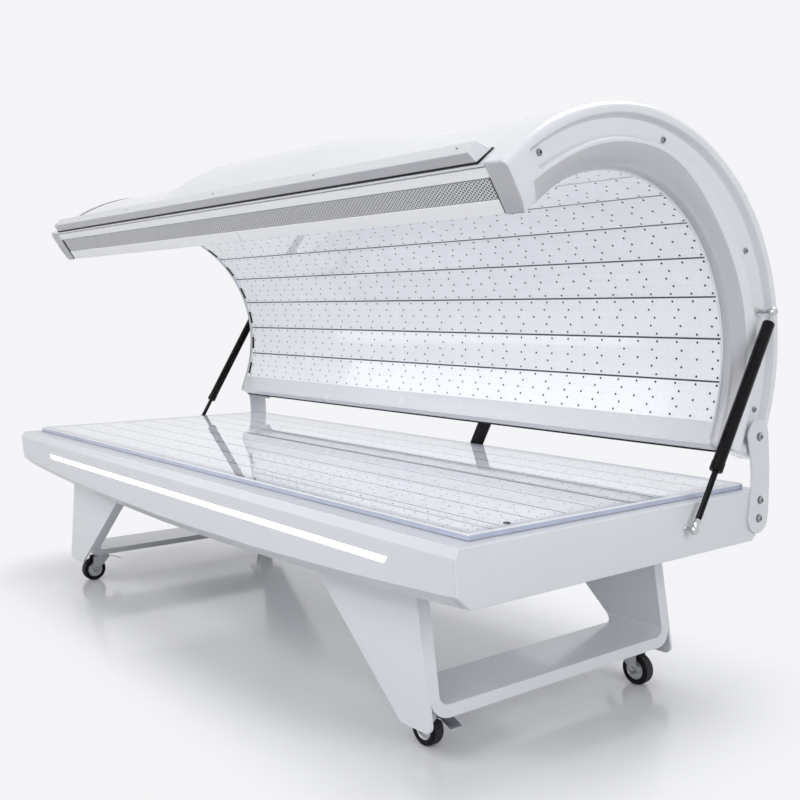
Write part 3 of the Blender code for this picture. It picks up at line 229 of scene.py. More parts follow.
# Pale opaque colour on the top chamfer that paints its reflection of the bright surroundings
ACRYLIC_CHAMFER_REFLECTION = surface("acrylic_chamfer_painted_reflection", (0.85, 0.865, 0.90), 0.16, (25, 0.04), grain=(60, 0.02))
ACRYLIC_EDGE = surface("acrylic_edge", (0.49, 0.53, 0.68), 0.16, (25, 0.06), grain=(60, 0.05),
                       coat=(0.5, 0.05))
# Dark grey on the sheet's bottom chamfer that paints the contact shadow under its edge
ACRYLIC_FOOT_SHADOW = surface("acrylic_foot_painted_shadow", (0.16, 0.165, 0.19), 0.3, (25, 0.06), grain=(60, 0.05))


def any_ray(tree, *names):
    """1 for rays of any of the kinds, and 0 for all others."""
    path = node_of(tree, "ShaderNodeLightPath")
    found = path.outputs[names[0]]
    for name in names[1:]:
        found = node_of(tree, "ShaderNodeMath", {0: found, 1: path.outputs[name]}, operation="MAXIMUM")
    return found


def mix_of(tree, share, first, second):
    return node_of(tree, "ShaderNodeMixShader", {0: share, 1: first, 2: second})


def let_lamps_through(material):
    """Lets light from lamps and from lit surfaces pass straight through a glass finish."""
    tree = material.node_tree
    clear = node_of(tree, "ShaderNodeBsdfTransparent", Color=(0.985, 0.988, 0.995, 1.0))
    light = any_ray(tree, "Is Shadow Ray", "Is Diffuse Ray")
    mix = mix_of(tree, light, tree.nodes["Principled BSDF"], clear)
    wire(tree, tree.nodes["Material Output"], {"Surface": mix})


let_lamps_through(ACRYLIC)
let_lamps_through(UNDERSIDE)


# Building pieces

TINY = 1e-5


def put(name, data):
    obj = bpy.data.objects.new(name, data)
    bpy.context.scene.collection.objects.link(obj)
    return obj


def show(mesh, materials, sharp, name=None):
    """Puts a mesh in the scene, shaded smooth but for edges past the sharp angle."""
    obj = put(name or mesh.name, mesh)
    for material in materials if isinstance(materials, list) else [materials]:
        mesh.materials.append(material)
    mesh.polygons.foreach_set("use_smooth", [True] * len(mesh.polygons))
    mesh.set_sharp_from_angle(angle=radians(sharp))
    return obj


def piece(mesh, materials, body, replaces=(), sharp=40.0, name=None):
    """Puts a mesh in the scene as a piece that moves with a body, and has the mesh's name unless it is given one."""
    obj = show(mesh, materials, sharp, name)
    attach(obj, body)
    if replaces:
        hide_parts(*replaces)
    return obj


def mesh_of(name, points, faces, kinds=None):
    mesh = bpy.data.meshes.new(name)
    mesh.from_pydata([tuple(map(float, p)) for p in points], [], faces)
    if kinds:
        mesh.polygons.foreach_set("material_index", kinds)
    mesh.update()
    return mesh


def merged(mesh, distance=1e-6, outward=True):
    """Merges corners that coincide, and turns the faces of a closed mesh outwards."""
    build = bmesh.new()
    build.from_mesh(mesh)
    bmesh.ops.remove_doubles(build, verts=build.verts, dist=distance)
    if outward:
        bmesh.ops.recalc_face_normals(build, faces=build.faces)
    build.to_mesh(mesh)
    build.free()
    return mesh


def skin(count, rows, first=0):
    """Faces between rows of closed rings of points, and then one over each end."""
    last = first + count * (rows - 1)
    faces = []
    for low in range(first, last, count):
        for j in range(count):
            k = (j + 1) % count
            faces.append((low + j, low + k, low + count + k, low + count + j))
    return faces + [tuple(range(first, first + count))[::-1], tuple(range(last, last + count))]


def loft(name, rings, kind=lambda i, j: 0, ends=(0, 0)):
    """Skins a row of closed rings of points.

    kind gives the material at a ring and a point of it, and ends those of the end faces, which are left out if
    ends is empty.
    """
    count = len(rings[0])
    kinds = [kind(i, j) for i in range(len(rings) - 1) for j in range(count)] + list(ends)
    faces = skin(count, len(rings))[:len(kinds)]
    return merged(mesh_of(name, [p for ring in rings for p in ring], faces, kinds))


def bar(name, section, spots, material, body="canopy", replaces=(), sharp=40.0):
    """A piece with one section of points, of which y and z count, at all the spots along X."""
    rings = [[Vector((x, *tuple(p)[-2:])) for p in section] for x in spots]
    piece(loft(name, rings), material, body, replaces, sharp)


def swept(name, line, distances, section, side, material, sharp=40.0):
    """A piece of the canopy along a line. section gives (x from the middle of the bed, depth below the line)."""
    rings = []
    for distance in distances:
        place, out = line.at(distance), line.out(distance)
        rings.append([Vector((side * x, *(place - out * depth))) for x, depth in section])
    piece(loft(name, rings), material, "canopy", sharp=sharp)


def corners(a, b, c, d):
    """Corners of a rectangle that reaches from a to b one way and from c to d the other."""
    return (a, c), (b, c), (b, d), (a, d)


def around(radius, angle, height):
    return Vector((radius * cos(angle), radius * sin(angle), height))


def turned(name, profile, placing, steps=40, hexagons=(), *kinds):
    """Turns a profile of (radius, height) about Z. The rings in hexagons get six flats instead of a round."""
    rings = []
    for i, (radius, height) in enumerate(profile):
        ring = []
        for k in range(steps):
            angle = 2 * pi * k / steps
            reach = max(radius, TINY)
            if i in hexagons:
                reach *= cos(pi / 6) / cos(angle % (pi / 3) - pi / 6)
            ring.append(placing @ around(reach, angle, height))
        rings.append(ring)
    return loft(name, rings, *kinds)


def spun(name, profile, placing, steps, kind=lambda i, j: 0):
    """Turns a closed profile of (radius, height) about Z into a ring."""
    angles = [2 * pi * (k % steps) / steps for k in range(steps + 1)]
    rings = [[placing @ around(radius, angle, height) for radius, height in profile] for angle in angles]
    return loft(name, rings, kind, ())


def along_x(sign, x, y, z):
    """Places what is turned about Z so that its height points out of the object along X."""
    return Matrix.Translation((sign * x, y, z)) @ Matrix.Rotation(radians(90 * sign), 4, "Y")


def clamp(part):
    return min(1.0, max(0.0, part))


def ease(part):
    part = clamp(part)
    return part * part * (3 - 2 * part)


def quarter(part):
    return sin(pi / 2 * clamp(part))


ROUND_ANGLE, FLAT_ANGLE, END_MARGIN = radians(24.0), radians(0.6), 0.0005


def soften(node, material, body, width=0.0015, segments=2, reshape=None):
    """Stands in for a CAD node with its own form, its edges rounded.

    reshape closes small gaps: it takes a corner and gives its new place. The edges around the outer ends, and
    those between corners that it moves up, are then left as they are.
    """
    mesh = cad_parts[node].data.copy()
    mesh.materials.clear()
    build = bmesh.new()
    build.from_mesh(mesh)
    bmesh.ops.remove_doubles(build, verts=build.verts, dist=TINY)
    bmesh.ops.dissolve_limit(build, angle_limit=FLAT_ANGLE, verts=build.verts, edges=build.edges)
    if reshape:
        kept = set()
        for vertex in build.verts:
            place = Vector(reshape(*vertex.co))
            if place.z > vertex.co.z:
                kept.add(vertex)
            vertex.co = place
        weights = build.edges.layers.float.new("bevel_weight_edge")
        far = max(abs(v.co.x) for v in build.verts) - END_MARGIN
        for edge in build.edges:
            bent = len(edge.link_faces) == 2 and edge.calc_face_angle(0.0) > ROUND_ANGLE
            left = all(abs(v.co.x) > far for v in edge.verts) or all(v in kept for v in edge.verts)
            edge[weights] = float(bent and not left)
    build.to_mesh(mesh)
    build.free()
    obj = piece(mesh, material, body, [node], 180.0, node + "_finish")
    rounding = obj.modifiers.new("rounding", "BEVEL")
    rounding.width = width
    rounding.segments = segments
    rounding.limit_method = "WEIGHT" if reshape else "ANGLE"
    rounding.angle_limit = ROUND_ANGLE
    weight = obj.modifiers.new("flat_faces", "WEIGHTED_NORMAL")
    weight.weight = 100
    return obj


# Canopy roof

HOOD_HEIGHT, HOOD_FROM, HOOD_FULL, HOOD_TO = 0.034, -0.42, (-0.22, 0.25), 0.56
HOOD_FRONT, HOOD_REAR, HOOD_RISE = 0.070, 0.720, 0.150
ROOF_COLUMNS, ROOF_ROWS, CREASE_REACH = 67, 92, 0.004


def hood_lift(x, distance):
    """Height of the raised hood at a place of the roof."""
    left = quarter((x - HOOD_FROM) / (HOOD_FULL[0] - HOOD_FROM))
    right = clamp((HOOD_TO - x) / (HOOD_TO - HOOD_FULL[1]))
    front = quarter((distance - HOOD_FRONT) / HOOD_RISE)
    rear = quarter((HOOD_REAR - distance) / HOOD_RISE)
    return HOOD_HEIGHT * left * right * front * rear


def spaced(low, high, count, creases):
    """Even places, with more of them about each crease."""
    about = {round(c + d, 5) for c in creases for d in (-CREASE_REACH, 0.0, CREASE_REACH)}
    return sorted(set(np.round(np.linspace(low, high, count), 5)) | about)


def make_roof():
    line = outer_line(OUTER_TAIL, SHELL_INSET)
    across = spaced(-INSIDE, INSIDE, ROOF_COLUMNS, (HOOD_FROM, *HOOD_FULL, HOOD_TO))
    downs = spaced(0, line.length, ROOF_ROWS, (HOOD_FRONT, HOOD_REAR))
    places = [(distance, line.at(distance), line.out(distance)) for distance in downs]
    around_sheet = [(0.0, *spot) for spot in places] + [(SHELL_THICKNESS, *spot) for spot in places[::-1]]
    rings = [[Vector((x, *(place + out * (hood_lift(x, distance) - depth))))
              for depth, distance, place, out in around_sheet] for x in across]
    piece(loft("canopy_roof", rings), GLOSS, "canopy", ["canopy_shell"])


# Widths of the dark strips, which paint the shadow at the foot of the caps' lips
SEAM_SHADOW_WIDTHS, SEAM_FROM, SEAM_SHORT, SEAM_RINGS = {"left": 0.0045, "right": 0.0010}, 0.02, 0.004, 120


def make_roof_seam_shadows():
    """Dark strips between the roof and the caps: the joint there, with painted shadow at the foot of each cap's lip;
    the left strip is wider.
    """
    distances = np.linspace(SEAM_FROM, OUTER.length - SEAM_SHORT, SEAM_RINGS)
    for side, sign in SIDES:
        inner = CAP_BACK - SEAM_SHADOW_WIDTHS[side]
        section = ((CAP_BACK, 0.0030), (CAP_BACK, 0.0005), (inner, 0.0010), (inner, 0.0030))
        swept("roof_seam_shadow_" + side, OUTER, distances, section, sign, SEAM_DARK)


# End caps of the canopy. Shares of a cap's width run from its outer to its inner edge, and parts of its length
# from the front to the foot.

CAP_PARTS = sorted(set(np.linspace(0.0, 0.09, 46)) | set(np.linspace(0.09, 1.0, 122)))
CAP_OUTER, CAP_INNER = outer_line(OUTER_TAIL + 0.018), inner_line(0.053)
CAP_LIP, LIP_STEPS = 0.012, 7
LIP_TO, WALL_TO, RIDGE_WALL = 0.170, 0.265, 0.06
RIDGE, RIDGE_SHIFT = (0.585, 0.680), (0.35, 0.65)
RECESS_DEPTH, RECESS_START, RECESS_SLANT, RECESS_END, RECESS_RAMP = 0.0125, 0.043, 0.020, 0.985, 0.009
CAP_FALL, CAP_FALL_OVER = 0.007, 0.15
CREASE, CREASE_DROP, CREASE_FROM, CREASE_OVER = 0.86, 0.28, 0.32, 0.30
CREST_STEP, RIM_STEP = 0.002, 0.003
CAP_END_ROUND, CAP_END_STEPS = 0.005, 4
# Which points and rings carry painted shade instead of the cap's gloss: the front end, the recess wall and the slope
# to the opening
SHADED_WALL_POINTS, SHADED_WALL_PARTS = (10, 16), (0.047, 0.978)
SLOPE_SHADE_POINT, BAND_FROM, SLOPE_SHADE_RING, SHADED_FRONT_RINGS = 33, 0.10, 20, 2


def creasing(part):
    """How far the slope to the opening has turned into a slope with a crease."""
    return ease((part - CREASE_FROM) / CREASE_OVER)


def cap_profile(width, part):
    """Section of a cap from its outer back edge over the face to its inner back edge, as (distance, x)."""
    shift = ease((part - RIDGE_SHIFT[0]) / (RIDGE_SHIFT[1] - RIDGE_SHIFT[0]))
    ridge = RIDGE[0] + (RIDGE[1] - RIDGE[0]) * shift
    foot = ridge - RIDGE_WALL

    def floor(share, depth):
        start = RECESS_START + RECESS_SLANT * (share - LIP_TO)
        grow = ease((part - start) / RECESS_RAMP) * ease((RECESS_END - part) / RECESS_RAMP)
        return share * width, CAP_FACE - RECESS_DEPTH * grow * depth

    points = [(0.0, CAP_BACK), (0.0, CAP_FACE - CAP_LIP)]
    for k in range(1, LIP_STEPS + 1):
        angle = pi / 2 * k / LIP_STEPS
        points.append((CAP_LIP * (1 - cos(angle)), CAP_FACE - CAP_LIP * (1 - sin(angle))))
    points += [floor(LIP_TO + (WALL_TO - LIP_TO) * k / 8, ease(k / 8)) for k in range(9)]
    points += [floor(WALL_TO + (foot - WALL_TO) * k / 4, 1.0) for k in range(1, 4)]
    points += [floor(foot + RIDGE_WALL * k / 6, 1 - ease(k / 6)) for k in range(7)]
    crest, rim = ridge * width + CREST_STEP, width - RIM_STEP
    fall = CAP_FALL + (CAP_FACE - CAP_RIM_FACE - CAP_FALL) * ease(part / CAP_FALL_OVER)
    low = CAP_FACE - fall
    bend = (CREASE - ridge) / (1 - ridge)
    band = BAND_FROM + (bend - BAND_FROM) * creasing(part)
    for k in range(1, 13):
        t = np.interp(k, (0, 6, 12), (0.0, band, 1.0))
        plain = 0.35 * t + 0.65 * t * t
        creased = np.interp(t, (0.0, bend, 1.0), (0.0, CREASE_DROP, 1.0))
        drop = plain + (creased - plain) * creasing(part)
        points.append((crest + (rim - crest) * t, CAP_FACE - fall * drop))
    points += [(width - 0.0009, low - 0.0010), (width, low - 0.0032), (width, CAP_BACK)]
    return points


def rounded(end, beside):
    """Rings that round the edge of a loft's end: copies of its last ring that are drawn in."""
    middle = sum(end, Vector()) / len(end)
    inward = (sum(beside, Vector()) / len(beside) - middle).normalized()
    rings = []
    for k in range(CAP_END_STEPS + 1):
        angle = pi / 2 * k / CAP_END_STEPS
        pull, depth = CAP_END_ROUND * (1 - sin(angle)), CAP_END_ROUND * (1 - cos(angle))
        ring = []
        for point in end:
            flat = middle - point
            flat -= inward * flat.dot(inward)
            ring.append(point + flat.normalized() * min(pull, flat.length) + inward * depth)
        rings.append(ring)
    return rings


def make_cap(side, sign):
    rings = []
    for part in CAP_PARTS:
        outer, inner = CAP_OUTER.at(part * CAP_OUTER.length), CAP_INNER.at(part * CAP_INNER.length)
        width = float(np.hypot(*(inner - outer)))
        across = (inner - outer) / width
        rings.append([Vector((sign * x, *(outer + across * distance))) for distance, x in cap_profile(width, part)])
    rings = rounded(*rings[:2]) + rings[1:-1] + rounded(*rings[:-3:-1])[::-1]
    parts = [0.0] * CAP_END_STEPS + CAP_PARTS + [1.0] * CAP_END_STEPS

    # Painted shade: grey on the front end, darker white on the recess wall and on the slope to the opening
    def kind(i, j):
        if i < SHADED_FRONT_RINGS:
            return 1
        if SHADED_WALL_POINTS[0] <= j <= SHADED_WALL_POINTS[1] and SHADED_WALL_PARTS[0] < parts[i] < SHADED_WALL_PARTS[1]:
            return 3
        return 2 if i > SLOPE_SHADE_RING and j >= SLOPE_SHADE_POINT else 0

    piece(loft("canopy_cap_form_" + side, rings, kind, (1, 0)), [GLOSS, PAINTED_SHADE_AND_JOINT_GREY, SLOPE_PAINTED_SHADE, GROOVE_PAINTED_SHADE], "canopy",
          ["canopy_cap_" + side], 60.0)


BEAD_WIDTH, BEAD_PROUD, BEAD_SUNK, BEAD_SHORT, BEAD_GAP, BEAD_RINGS = 0.0035, 0.0045, 0.004, 0.012, 0.0001, 110
BEAD_SECTION = ((0.0, -BEAD_SUNK), (0.0, BEAD_PROUD - 0.001), (0.0008, BEAD_PROUD),
                (BEAD_WIDTH - 0.0008, BEAD_PROUD), (BEAD_WIDTH, BEAD_PROUD - 0.001), (BEAD_WIDTH, -BEAD_SUNK))


def make_arch_bead(side, sign):
    """A slim lip around the opening, between the cap and the ends of the boards."""
    section = [(CAP_BACK - BEAD_GAP - x, depth) for x, depth in BEAD_SECTION]
    distances = np.linspace(BEAD_SHORT, CAP_INNER.length - BEAD_SHORT, BEAD_RINGS)
    swept("arch_bead_" + side, INNER, distances, section, sign, GLOSS, 50.0)


# Light boards

BOARD_COUNT, BOARD_START, BOARD_TAIL, LAST_BOARD = 11, 0.0135, 0.005, 0.0815
BOARD_THICKNESS, BOARD_GAP, BOARD_ROUND, BOARD_RINGS, BOARD_SHARP = 0.004, 0.0034, 0.0008, 9, 10.0
LENS_RADIUS, LENS_RISE, LENS_SUNK, LENS_CLEAR, LENS_MARGIN = 0.0031, 0.0007, 0.0002, 1.6, 0.004
LENS_PITCH, LENS_FIRST, LENS_SECOND = 0.050, 0.906, 0.8935
ROWS = (0.095, 0.30, 0.50, 0.70, 0.905)
SPECK_PITCH, SPECK_FIRST, SPECK = 0.0167, 0.6, ((0.0011, 0.0), (0.00066, 0.0005))
# Shares of a lens's radius and rise
DOME = ((1.0, 0.0), (0.62, 0.75), (0.0, 1.0))
LENS_RAYS = [(cos(pi / 4 * k), sin(pi / 4 * k)) for k in range(8)]
SPECK_RAYS = corners(-1, 1, -1, 1)
SEAM_HALF, SEAM_TOP, SEAM_LOW = 0.004, 0.0012, 0.0034
# Dark blocks at the left ends of the boards, which paint the shade in the gaps there; the right ends have none
END_SHADE_SPOTS = (0.0140 - CAP_BACK, 0.0035 - CAP_BACK)
END_SHADE_SECTION = ((0.36, -0.0006), (0.38, 0.0014), (0.80, 0.0014), (0.82, -0.0006))
ALONG = Vector((1, 0, 0))


def lens_places(reach, row):
    """Where along the bed the lenses of a row sit."""
    first, pitch = (LENS_SECOND, 1.5 * LENS_PITCH) if row % 2 else (LENS_FIRST, LENS_PITCH)
    return [float(x) for x in np.arange(first, -reach, -pitch) if x < reach]


class Dots:
    """Gathers small domes and specks on flat boards into one mesh."""

    def __init__(self):
        self.points, self.faces, self.kinds = [], [], []

    def stud(self, centre, up, out, rays, rings, kind):
        """Adds a small closed form, with rings of (size, height) along the rays."""
        faces = skin(len(rays), len(rings), len(self.points))
        for size, height in rings:
            self.points += [centre + (ALONG * a + up * b) * size + out * height for a, b in rays]
        self.faces += faces
        self.kinds += [kind] * len(faces)

    def fill(self, start, step, width, out, reach, radius=LENS_RADIUS, rows=ROWS):
        """Covers a board that begins at a point, runs along X and is width wide along step."""
        dome = [(radius * a, LENS_RISE * b) for a, b in DOME]
        for row, share in enumerate(rows):
            base = start + step * (width * share) - out * LENS_SUNK
            lenses = lens_places(reach, row)
            for x in lenses:
                self.stud(base + ALONG * x, step, out, LENS_RAYS, dome, 0)
            for k in range(int(2 * reach / SPECK_PITCH)):
                x = reach - SPECK_PITCH * (k + SPECK_FIRST)
                if min((abs(x - lens) for lens in lenses), default=1.0) > radius * LENS_CLEAR:
                    self.stud(base + ALONG * x, step, out, SPECK_RAYS, SPECK, 1)

    def add(self, name, body, lens=LENS_DARK):
        mesh = merged(mesh_of(name, self.points, self.faces, self.kinds))
        piece(mesh, [lens, LENS_PALE], body)


def make_board(name, first, last, out, half, body, node):
    """A flat board along X with rounded long edges. out points to the side that is lit."""
    step = (last - first).normalized()
    soft = BOARD_ROUND * 0.3
    section = [first - out * BOARD_ROUND, first + (step - out) * soft, first + step * BOARD_ROUND,
               last - step * BOARD_ROUND, last - (step + out) * soft, last - out * BOARD_ROUND,
               last - out * BOARD_THICKNESS, first - out * BOARD_THICKNESS]
    bar(name, section, np.linspace(-half, half, BOARD_RINGS), BOARD_WITH_PAINTED_GLOW, body, [node], BOARD_SHARP)


def make_canopy_boards():
    line = inner_line(BOARD_TAIL, BOARD_STEP)
    pitch = (line.length - BOARD_START - LAST_BOARD) / (BOARD_COUNT - 1)
    seams = [BOARD_START + pitch * i for i in range(BOARD_COUNT)] + [line.length]
    seams = [Vector((0.0, *line.at(s))) for s in seams]
    for number, (start, end) in enumerate(zip(seams, seams[1:]), 1):
        step = (end - start).normalized()
        out = Vector((0.0, step.z, -step.y))
        first = start + step * BOARD_GAP / 2
        last = end - step * (BOARD_GAP / 2 if number < BOARD_COUNT else 0.0)
        make_board(f"canopy_board_{number}", first, last, out, INSIDE, "canopy", f"canopy_led_board_{number}")
        dots = Dots()
        dots.fill(start, step, (end - start).length, out, INSIDE - LENS_MARGIN)
        dots.add(f"canopy_lenses_{number}", "canopy")
        if number > 1:
            section = [start + step * a - out * b for a, b in corners(-SEAM_HALF, SEAM_HALF, SEAM_TOP, SEAM_LOW)]
            bar(f"canopy_seam_{number}", section, (-INSIDE, INSIDE), SEAM_DARK)
        # A dark block at the board's left end, painting the shade in the gap there
        section = [start + step * (pitch * share) + out * rise for share, rise in END_SHADE_SECTION]
        bar(f"board_end_shade_{number}", section, END_SHADE_SPOTS, PLASTIC)


# Rear rail

RAIL_LINE = ((0.2992, 0.5658), (0.2845, 0.5262), (0.2826, 0.5246), (0.2819, 0.5228), (0.2829, 0.5212),
             (0.2853, 0.5200), (0.2990, 0.5088), (0.3030, 0.5088), (0.3850, 0.5088), (0.3850, 0.5138),
             (0.3100, 0.5138), (0.2990, 0.5240), (0.3100, 0.5655))
# A dark strip under the rail that paints the shadow in the gap below it
RAIL_SHADOW_STRIP = ((0.2990, 0.5090), (0.2984, 0.5062), (0.2996, 0.5048), (0.3060, 0.5048), (0.3060, 0.5090))
RAIL_RINGS, RAIL_SHARP = 9, 28.0


def make_rail():
    spots = np.linspace(-INSIDE, INSIDE, RAIL_RINGS)
    bar("rail_form", RAIL_LINE, spots, PROFILE, replaces=["rear_rail"], sharp=RAIL_SHARP)
    bar("rail_shadow_strip", RAIL_SHADOW_STRIP, spots, PLASTIC, sharp=RAIL_SHARP)


# Front lip: grille, the dark strip of painted shadow under the handle, and the handle. Distances run down the front
# panel from its top edge.

GRILLE_FROM, GRILLE_TO, GRILLE_SUNK, GRILLE_SHEET, GRILLE_MARGIN = 0.0265, 0.0665, 0.0031, 0.0012, 0.002
HOLE_PITCH, HOLE_RADIUS, HOLE_ROWS = 0.0062, 0.00220968, 7
BACKING_TOP, BACKING_LOW, BACKING_SHORT = 0.00135, 0.0018, 0.0004
PANEL_SUNK, SLOT_WIDTHS, SLOT_SPAN, SLOT_DEPTH = 0.0014, {"left": 0.006, "right": 0.0012}, (0.028, 0.0905), 0.004
JOINT_X, JOINT_HALF, JOINT_SPAN, JOINT_DEPTH = 0.079, 0.0007, (0.0695, 0.0905), 0.003


def front_frame():
    """The top edge of the front panel, and the ways down along the panel and into the canopy."""
    top, low = Vector((0.0, *OUTER_START)), Vector((0.0, *INNER_START))
    down = (low - top).normalized()
    return top, down, Vector((0.0, -down.z, down.y))


def grille_mesh(middle, down, inward):
    """Hexagonal cells, each with a hole through it."""
    cell = HOLE_PITCH / sqrt(3)
    step = cell * 1.5
    count = int(2 * (INSIDE - GRILLE_MARGIN) / step)
    points, faces = [], []
    for k in range(count):
        u = (k - (count - 1) / 2) * step
        rows = HOLE_ROWS - k % 2
        for row in range(rows):
            v = (row - (rows - 1) / 2) * HOLE_PITCH
            faces += skin(6, 3, len(points))[:-2]
            for radius, depth in ((cell, 0.0), (HOLE_RADIUS, 0.0), (HOLE_RADIUS, GRILLE_SHEET)):
                for c in range(6):
                    spot = around(radius, pi / 3 * c, depth) + Vector((u, v, 0.0))
                    points.append(middle + ALONG * spot.x + down * spot.y + inward * spot.z)
    return merged(mesh_of("grille_sheet", points, faces), TINY, outward=False)


def make_grille():
    """The perforated sheet over a dark backing, with slots at its ends and a joint in the panel below it."""
    top, down, inward = front_frame()
    middle = top + down * (GRILLE_FROM + GRILLE_TO) / 2 + inward * GRILLE_SUNK
    piece(grille_mesh(middle, down, inward), ALLOY, "canopy", ["front_grille"], 50.0)

    def plate(place, span, depths):
        return [place + down * a + inward * b for a, b in corners(*span, *depths)]

    half = (GRILLE_TO - GRILLE_FROM) / 2 - BACKING_SHORT
    bar("grille_backing", plate(middle, (-half, half), (BACKING_TOP, BACKING_LOW)), (-INSIDE, INSIDE), PLASTIC)
    face = top + inward * PANEL_SUNK
    for side, sign in SIDES:
        spots = (sign * (INSIDE - SLOT_WIDTHS[side]), sign * INSIDE)
        bar("grille_slot_" + side, plate(face, SLOT_SPAN, (0.0, SLOT_DEPTH)), spots, PLASTIC)
    bar("panel_joint", plate(face, JOINT_SPAN, (0.0, JOINT_DEPTH)), (JOINT_X - JOINT_HALF, JOINT_X + JOINT_HALF),
        PAINTED_SHADE_AND_JOINT_GREY)


HANDLE_SEAT, HANDLE_TILT, HANDLE_BASE, HANDLE_HALF, HANDLE_GAP = 0.046, 37.0, 0.044, 0.903, 0.0003
# Size of the dark strip that paints the shadow under the handle
HANDLE_SHADOW_PROUD, HANDLE_SHADOW_HEIGHT, HANDLE_SHADOW_SUNK = 0.0007, 0.0020, 0.0012


def handle_frame():
    """The rear edge of the handle's foot, and the ways up the slope and away from it."""
    tilt = radians(HANDLE_TILT)
    slope = Vector((0.0, cos(tilt), sin(tilt)))
    raised = Vector((0.0, -slope.z, slope.y))
    line = outer_line(0.0, SHELL_INSET, BOARD_STEP)
    return Vector((0.0, *line.at(HANDLE_SEAT))) + raised * HANDLE_GAP, slope, raised


def make_handle_shadow_strip():
    """A dark strip under the handle that paints the shadow in the gap below it."""
    seat, slope, raised = handle_frame()
    section = [seat + slope * a + raised * b for a, b in corners(
        -HANDLE_BASE - HANDLE_SHADOW_PROUD, HANDLE_SHADOW_PROUD, -HANDLE_SHADOW_SUNK, HANDLE_SHADOW_HEIGHT)]
    ends = HANDLE_HALF + HANDLE_SHADOW_PROUD
    bar("handle_shadow_strip", section, (-ends, ends), PLASTIC)


# Fasteners, as places in (y, z) and sizes as (radius, height)

BOLT_DRIVE, BOLT_STEPS = 0.42, 24
CAP_SCREWS, CAP_SCREW = ((-0.256, 1.039), (0.062, 1.091), (0.331, 0.905), (0.378, 0.589)), (0.0060, 0.0042)
HINGE_FACE, HINGE_HEAD = BASE_HALF + 0.0063, 0.0060
# Place, radius and washer
HINGE_BOLTS = (((0.363, 0.537), 0.0070, 0.0092), ((0.372, 0.408), 0.0066, 0.0088), ((0.369, 0.371), 0.0066, 0.0088))
HANDLE_SCREWS, HANDLE_SCREW = (-0.41, 0.05, 0.45, 0.86), (0.0026, 0.0012)
HANDLE_SCREW_BACK, HANDLE_TOP = 0.0125, 0.0246


def bolt(name, placing, body, size, washer=0.0):
    """A domed head with a hexagon socket, painted near black inside as shade, on a washer where that has a radius.
    """
    radius, height = size
    drive = radius * BOLT_DRIVE
    profile = [(0.0, height * 0.35), (drive, height * 0.35), (drive, height), (drive * 1.18, height)]
    for k in range(1, 6):
        angle = pi / 2 * k / 5
        profile.append((radius * (0.5 + 0.5 * sin(angle)), height * (0.25 + 0.75 * cos(angle * 0.96))))
    profile.append((radius, height * 0.12))
    profile += [(radius, 0.0012), (washer, 0.0012), (washer, -0.0004)] if washer else [(radius, -0.0008)]
    profile.append((0.0, -0.0008))
    mesh = turned(name, profile, placing, BOLT_STEPS, (1, 2), lambda i, j: int(i < 2), (1, 0))
    piece(mesh, [DARK_CHROME, SOCKET_PAINTED_SHADE], body, sharp=50.0)


def make_fasteners():
    for side, sign in SIDES:
        for i, place in enumerate(CAP_SCREWS, 1):
            bolt(f"cap_screw_{side}_{i}", along_x(sign, CAP_FACE - RECESS_DEPTH, *place), "canopy", CAP_SCREW)
        for i, (place, radius, washer) in enumerate(HINGE_BOLTS, 1):
            placing = along_x(sign, HINGE_FACE, *place)
            bolt(f"hinge_bolt_{side}_{i}", placing, "base", (radius, HINGE_HEAD), washer)
    seat, slope, raised = handle_frame()
    top = seat - slope * (HANDLE_BASE - HANDLE_SCREW_BACK) + raised * HANDLE_TOP
    turn = Vector((0, 0, 1)).rotation_difference(raised).to_matrix().to_4x4()
    for i, x in enumerate(HANDLE_SCREWS, 1):
        bolt(f"handle_screw_{i}", Matrix.Translation((x, top.y, top.z)) @ turn, "canopy", HANDLE_SCREW)


# Gas struts. Heights run from the lower ball to the upper one.

STRUT_X, STRUT_LOW, STRUT_HIGH = 0.988, Vector((0.1358, 0.381)), Vector((0.379, 0.786))
BALL, ROD, TUBE, COLLAR, TUBE_HOLE, TUBE_BORE = 0.0095, 0.0058, 0.0121, 0.0130, 0.0062, 0.0092
FITTING_LENGTH, FITTING_NECK, TOP_NECK = 0.021, 0.0068, 0.0054
ROD_EXPOSED, ROD_INSIDE, TOP_FITTING = 0.1005, 0.030, 0.025
TUBE_STEPS, STUD_STEPS, STUD_GAP, STUD_FLANGE = 40, 32, 0.0003, 0.0080


def ball_arc(height, start, end, steps=9):
    """Profile of a strut's ball between two latitudes."""
    angles = [radians(start + (end - start) * k / steps) for k in range(steps + 1)]
    return [(BALL * cos(a), height + BALL * sin(a)) for a in angles]


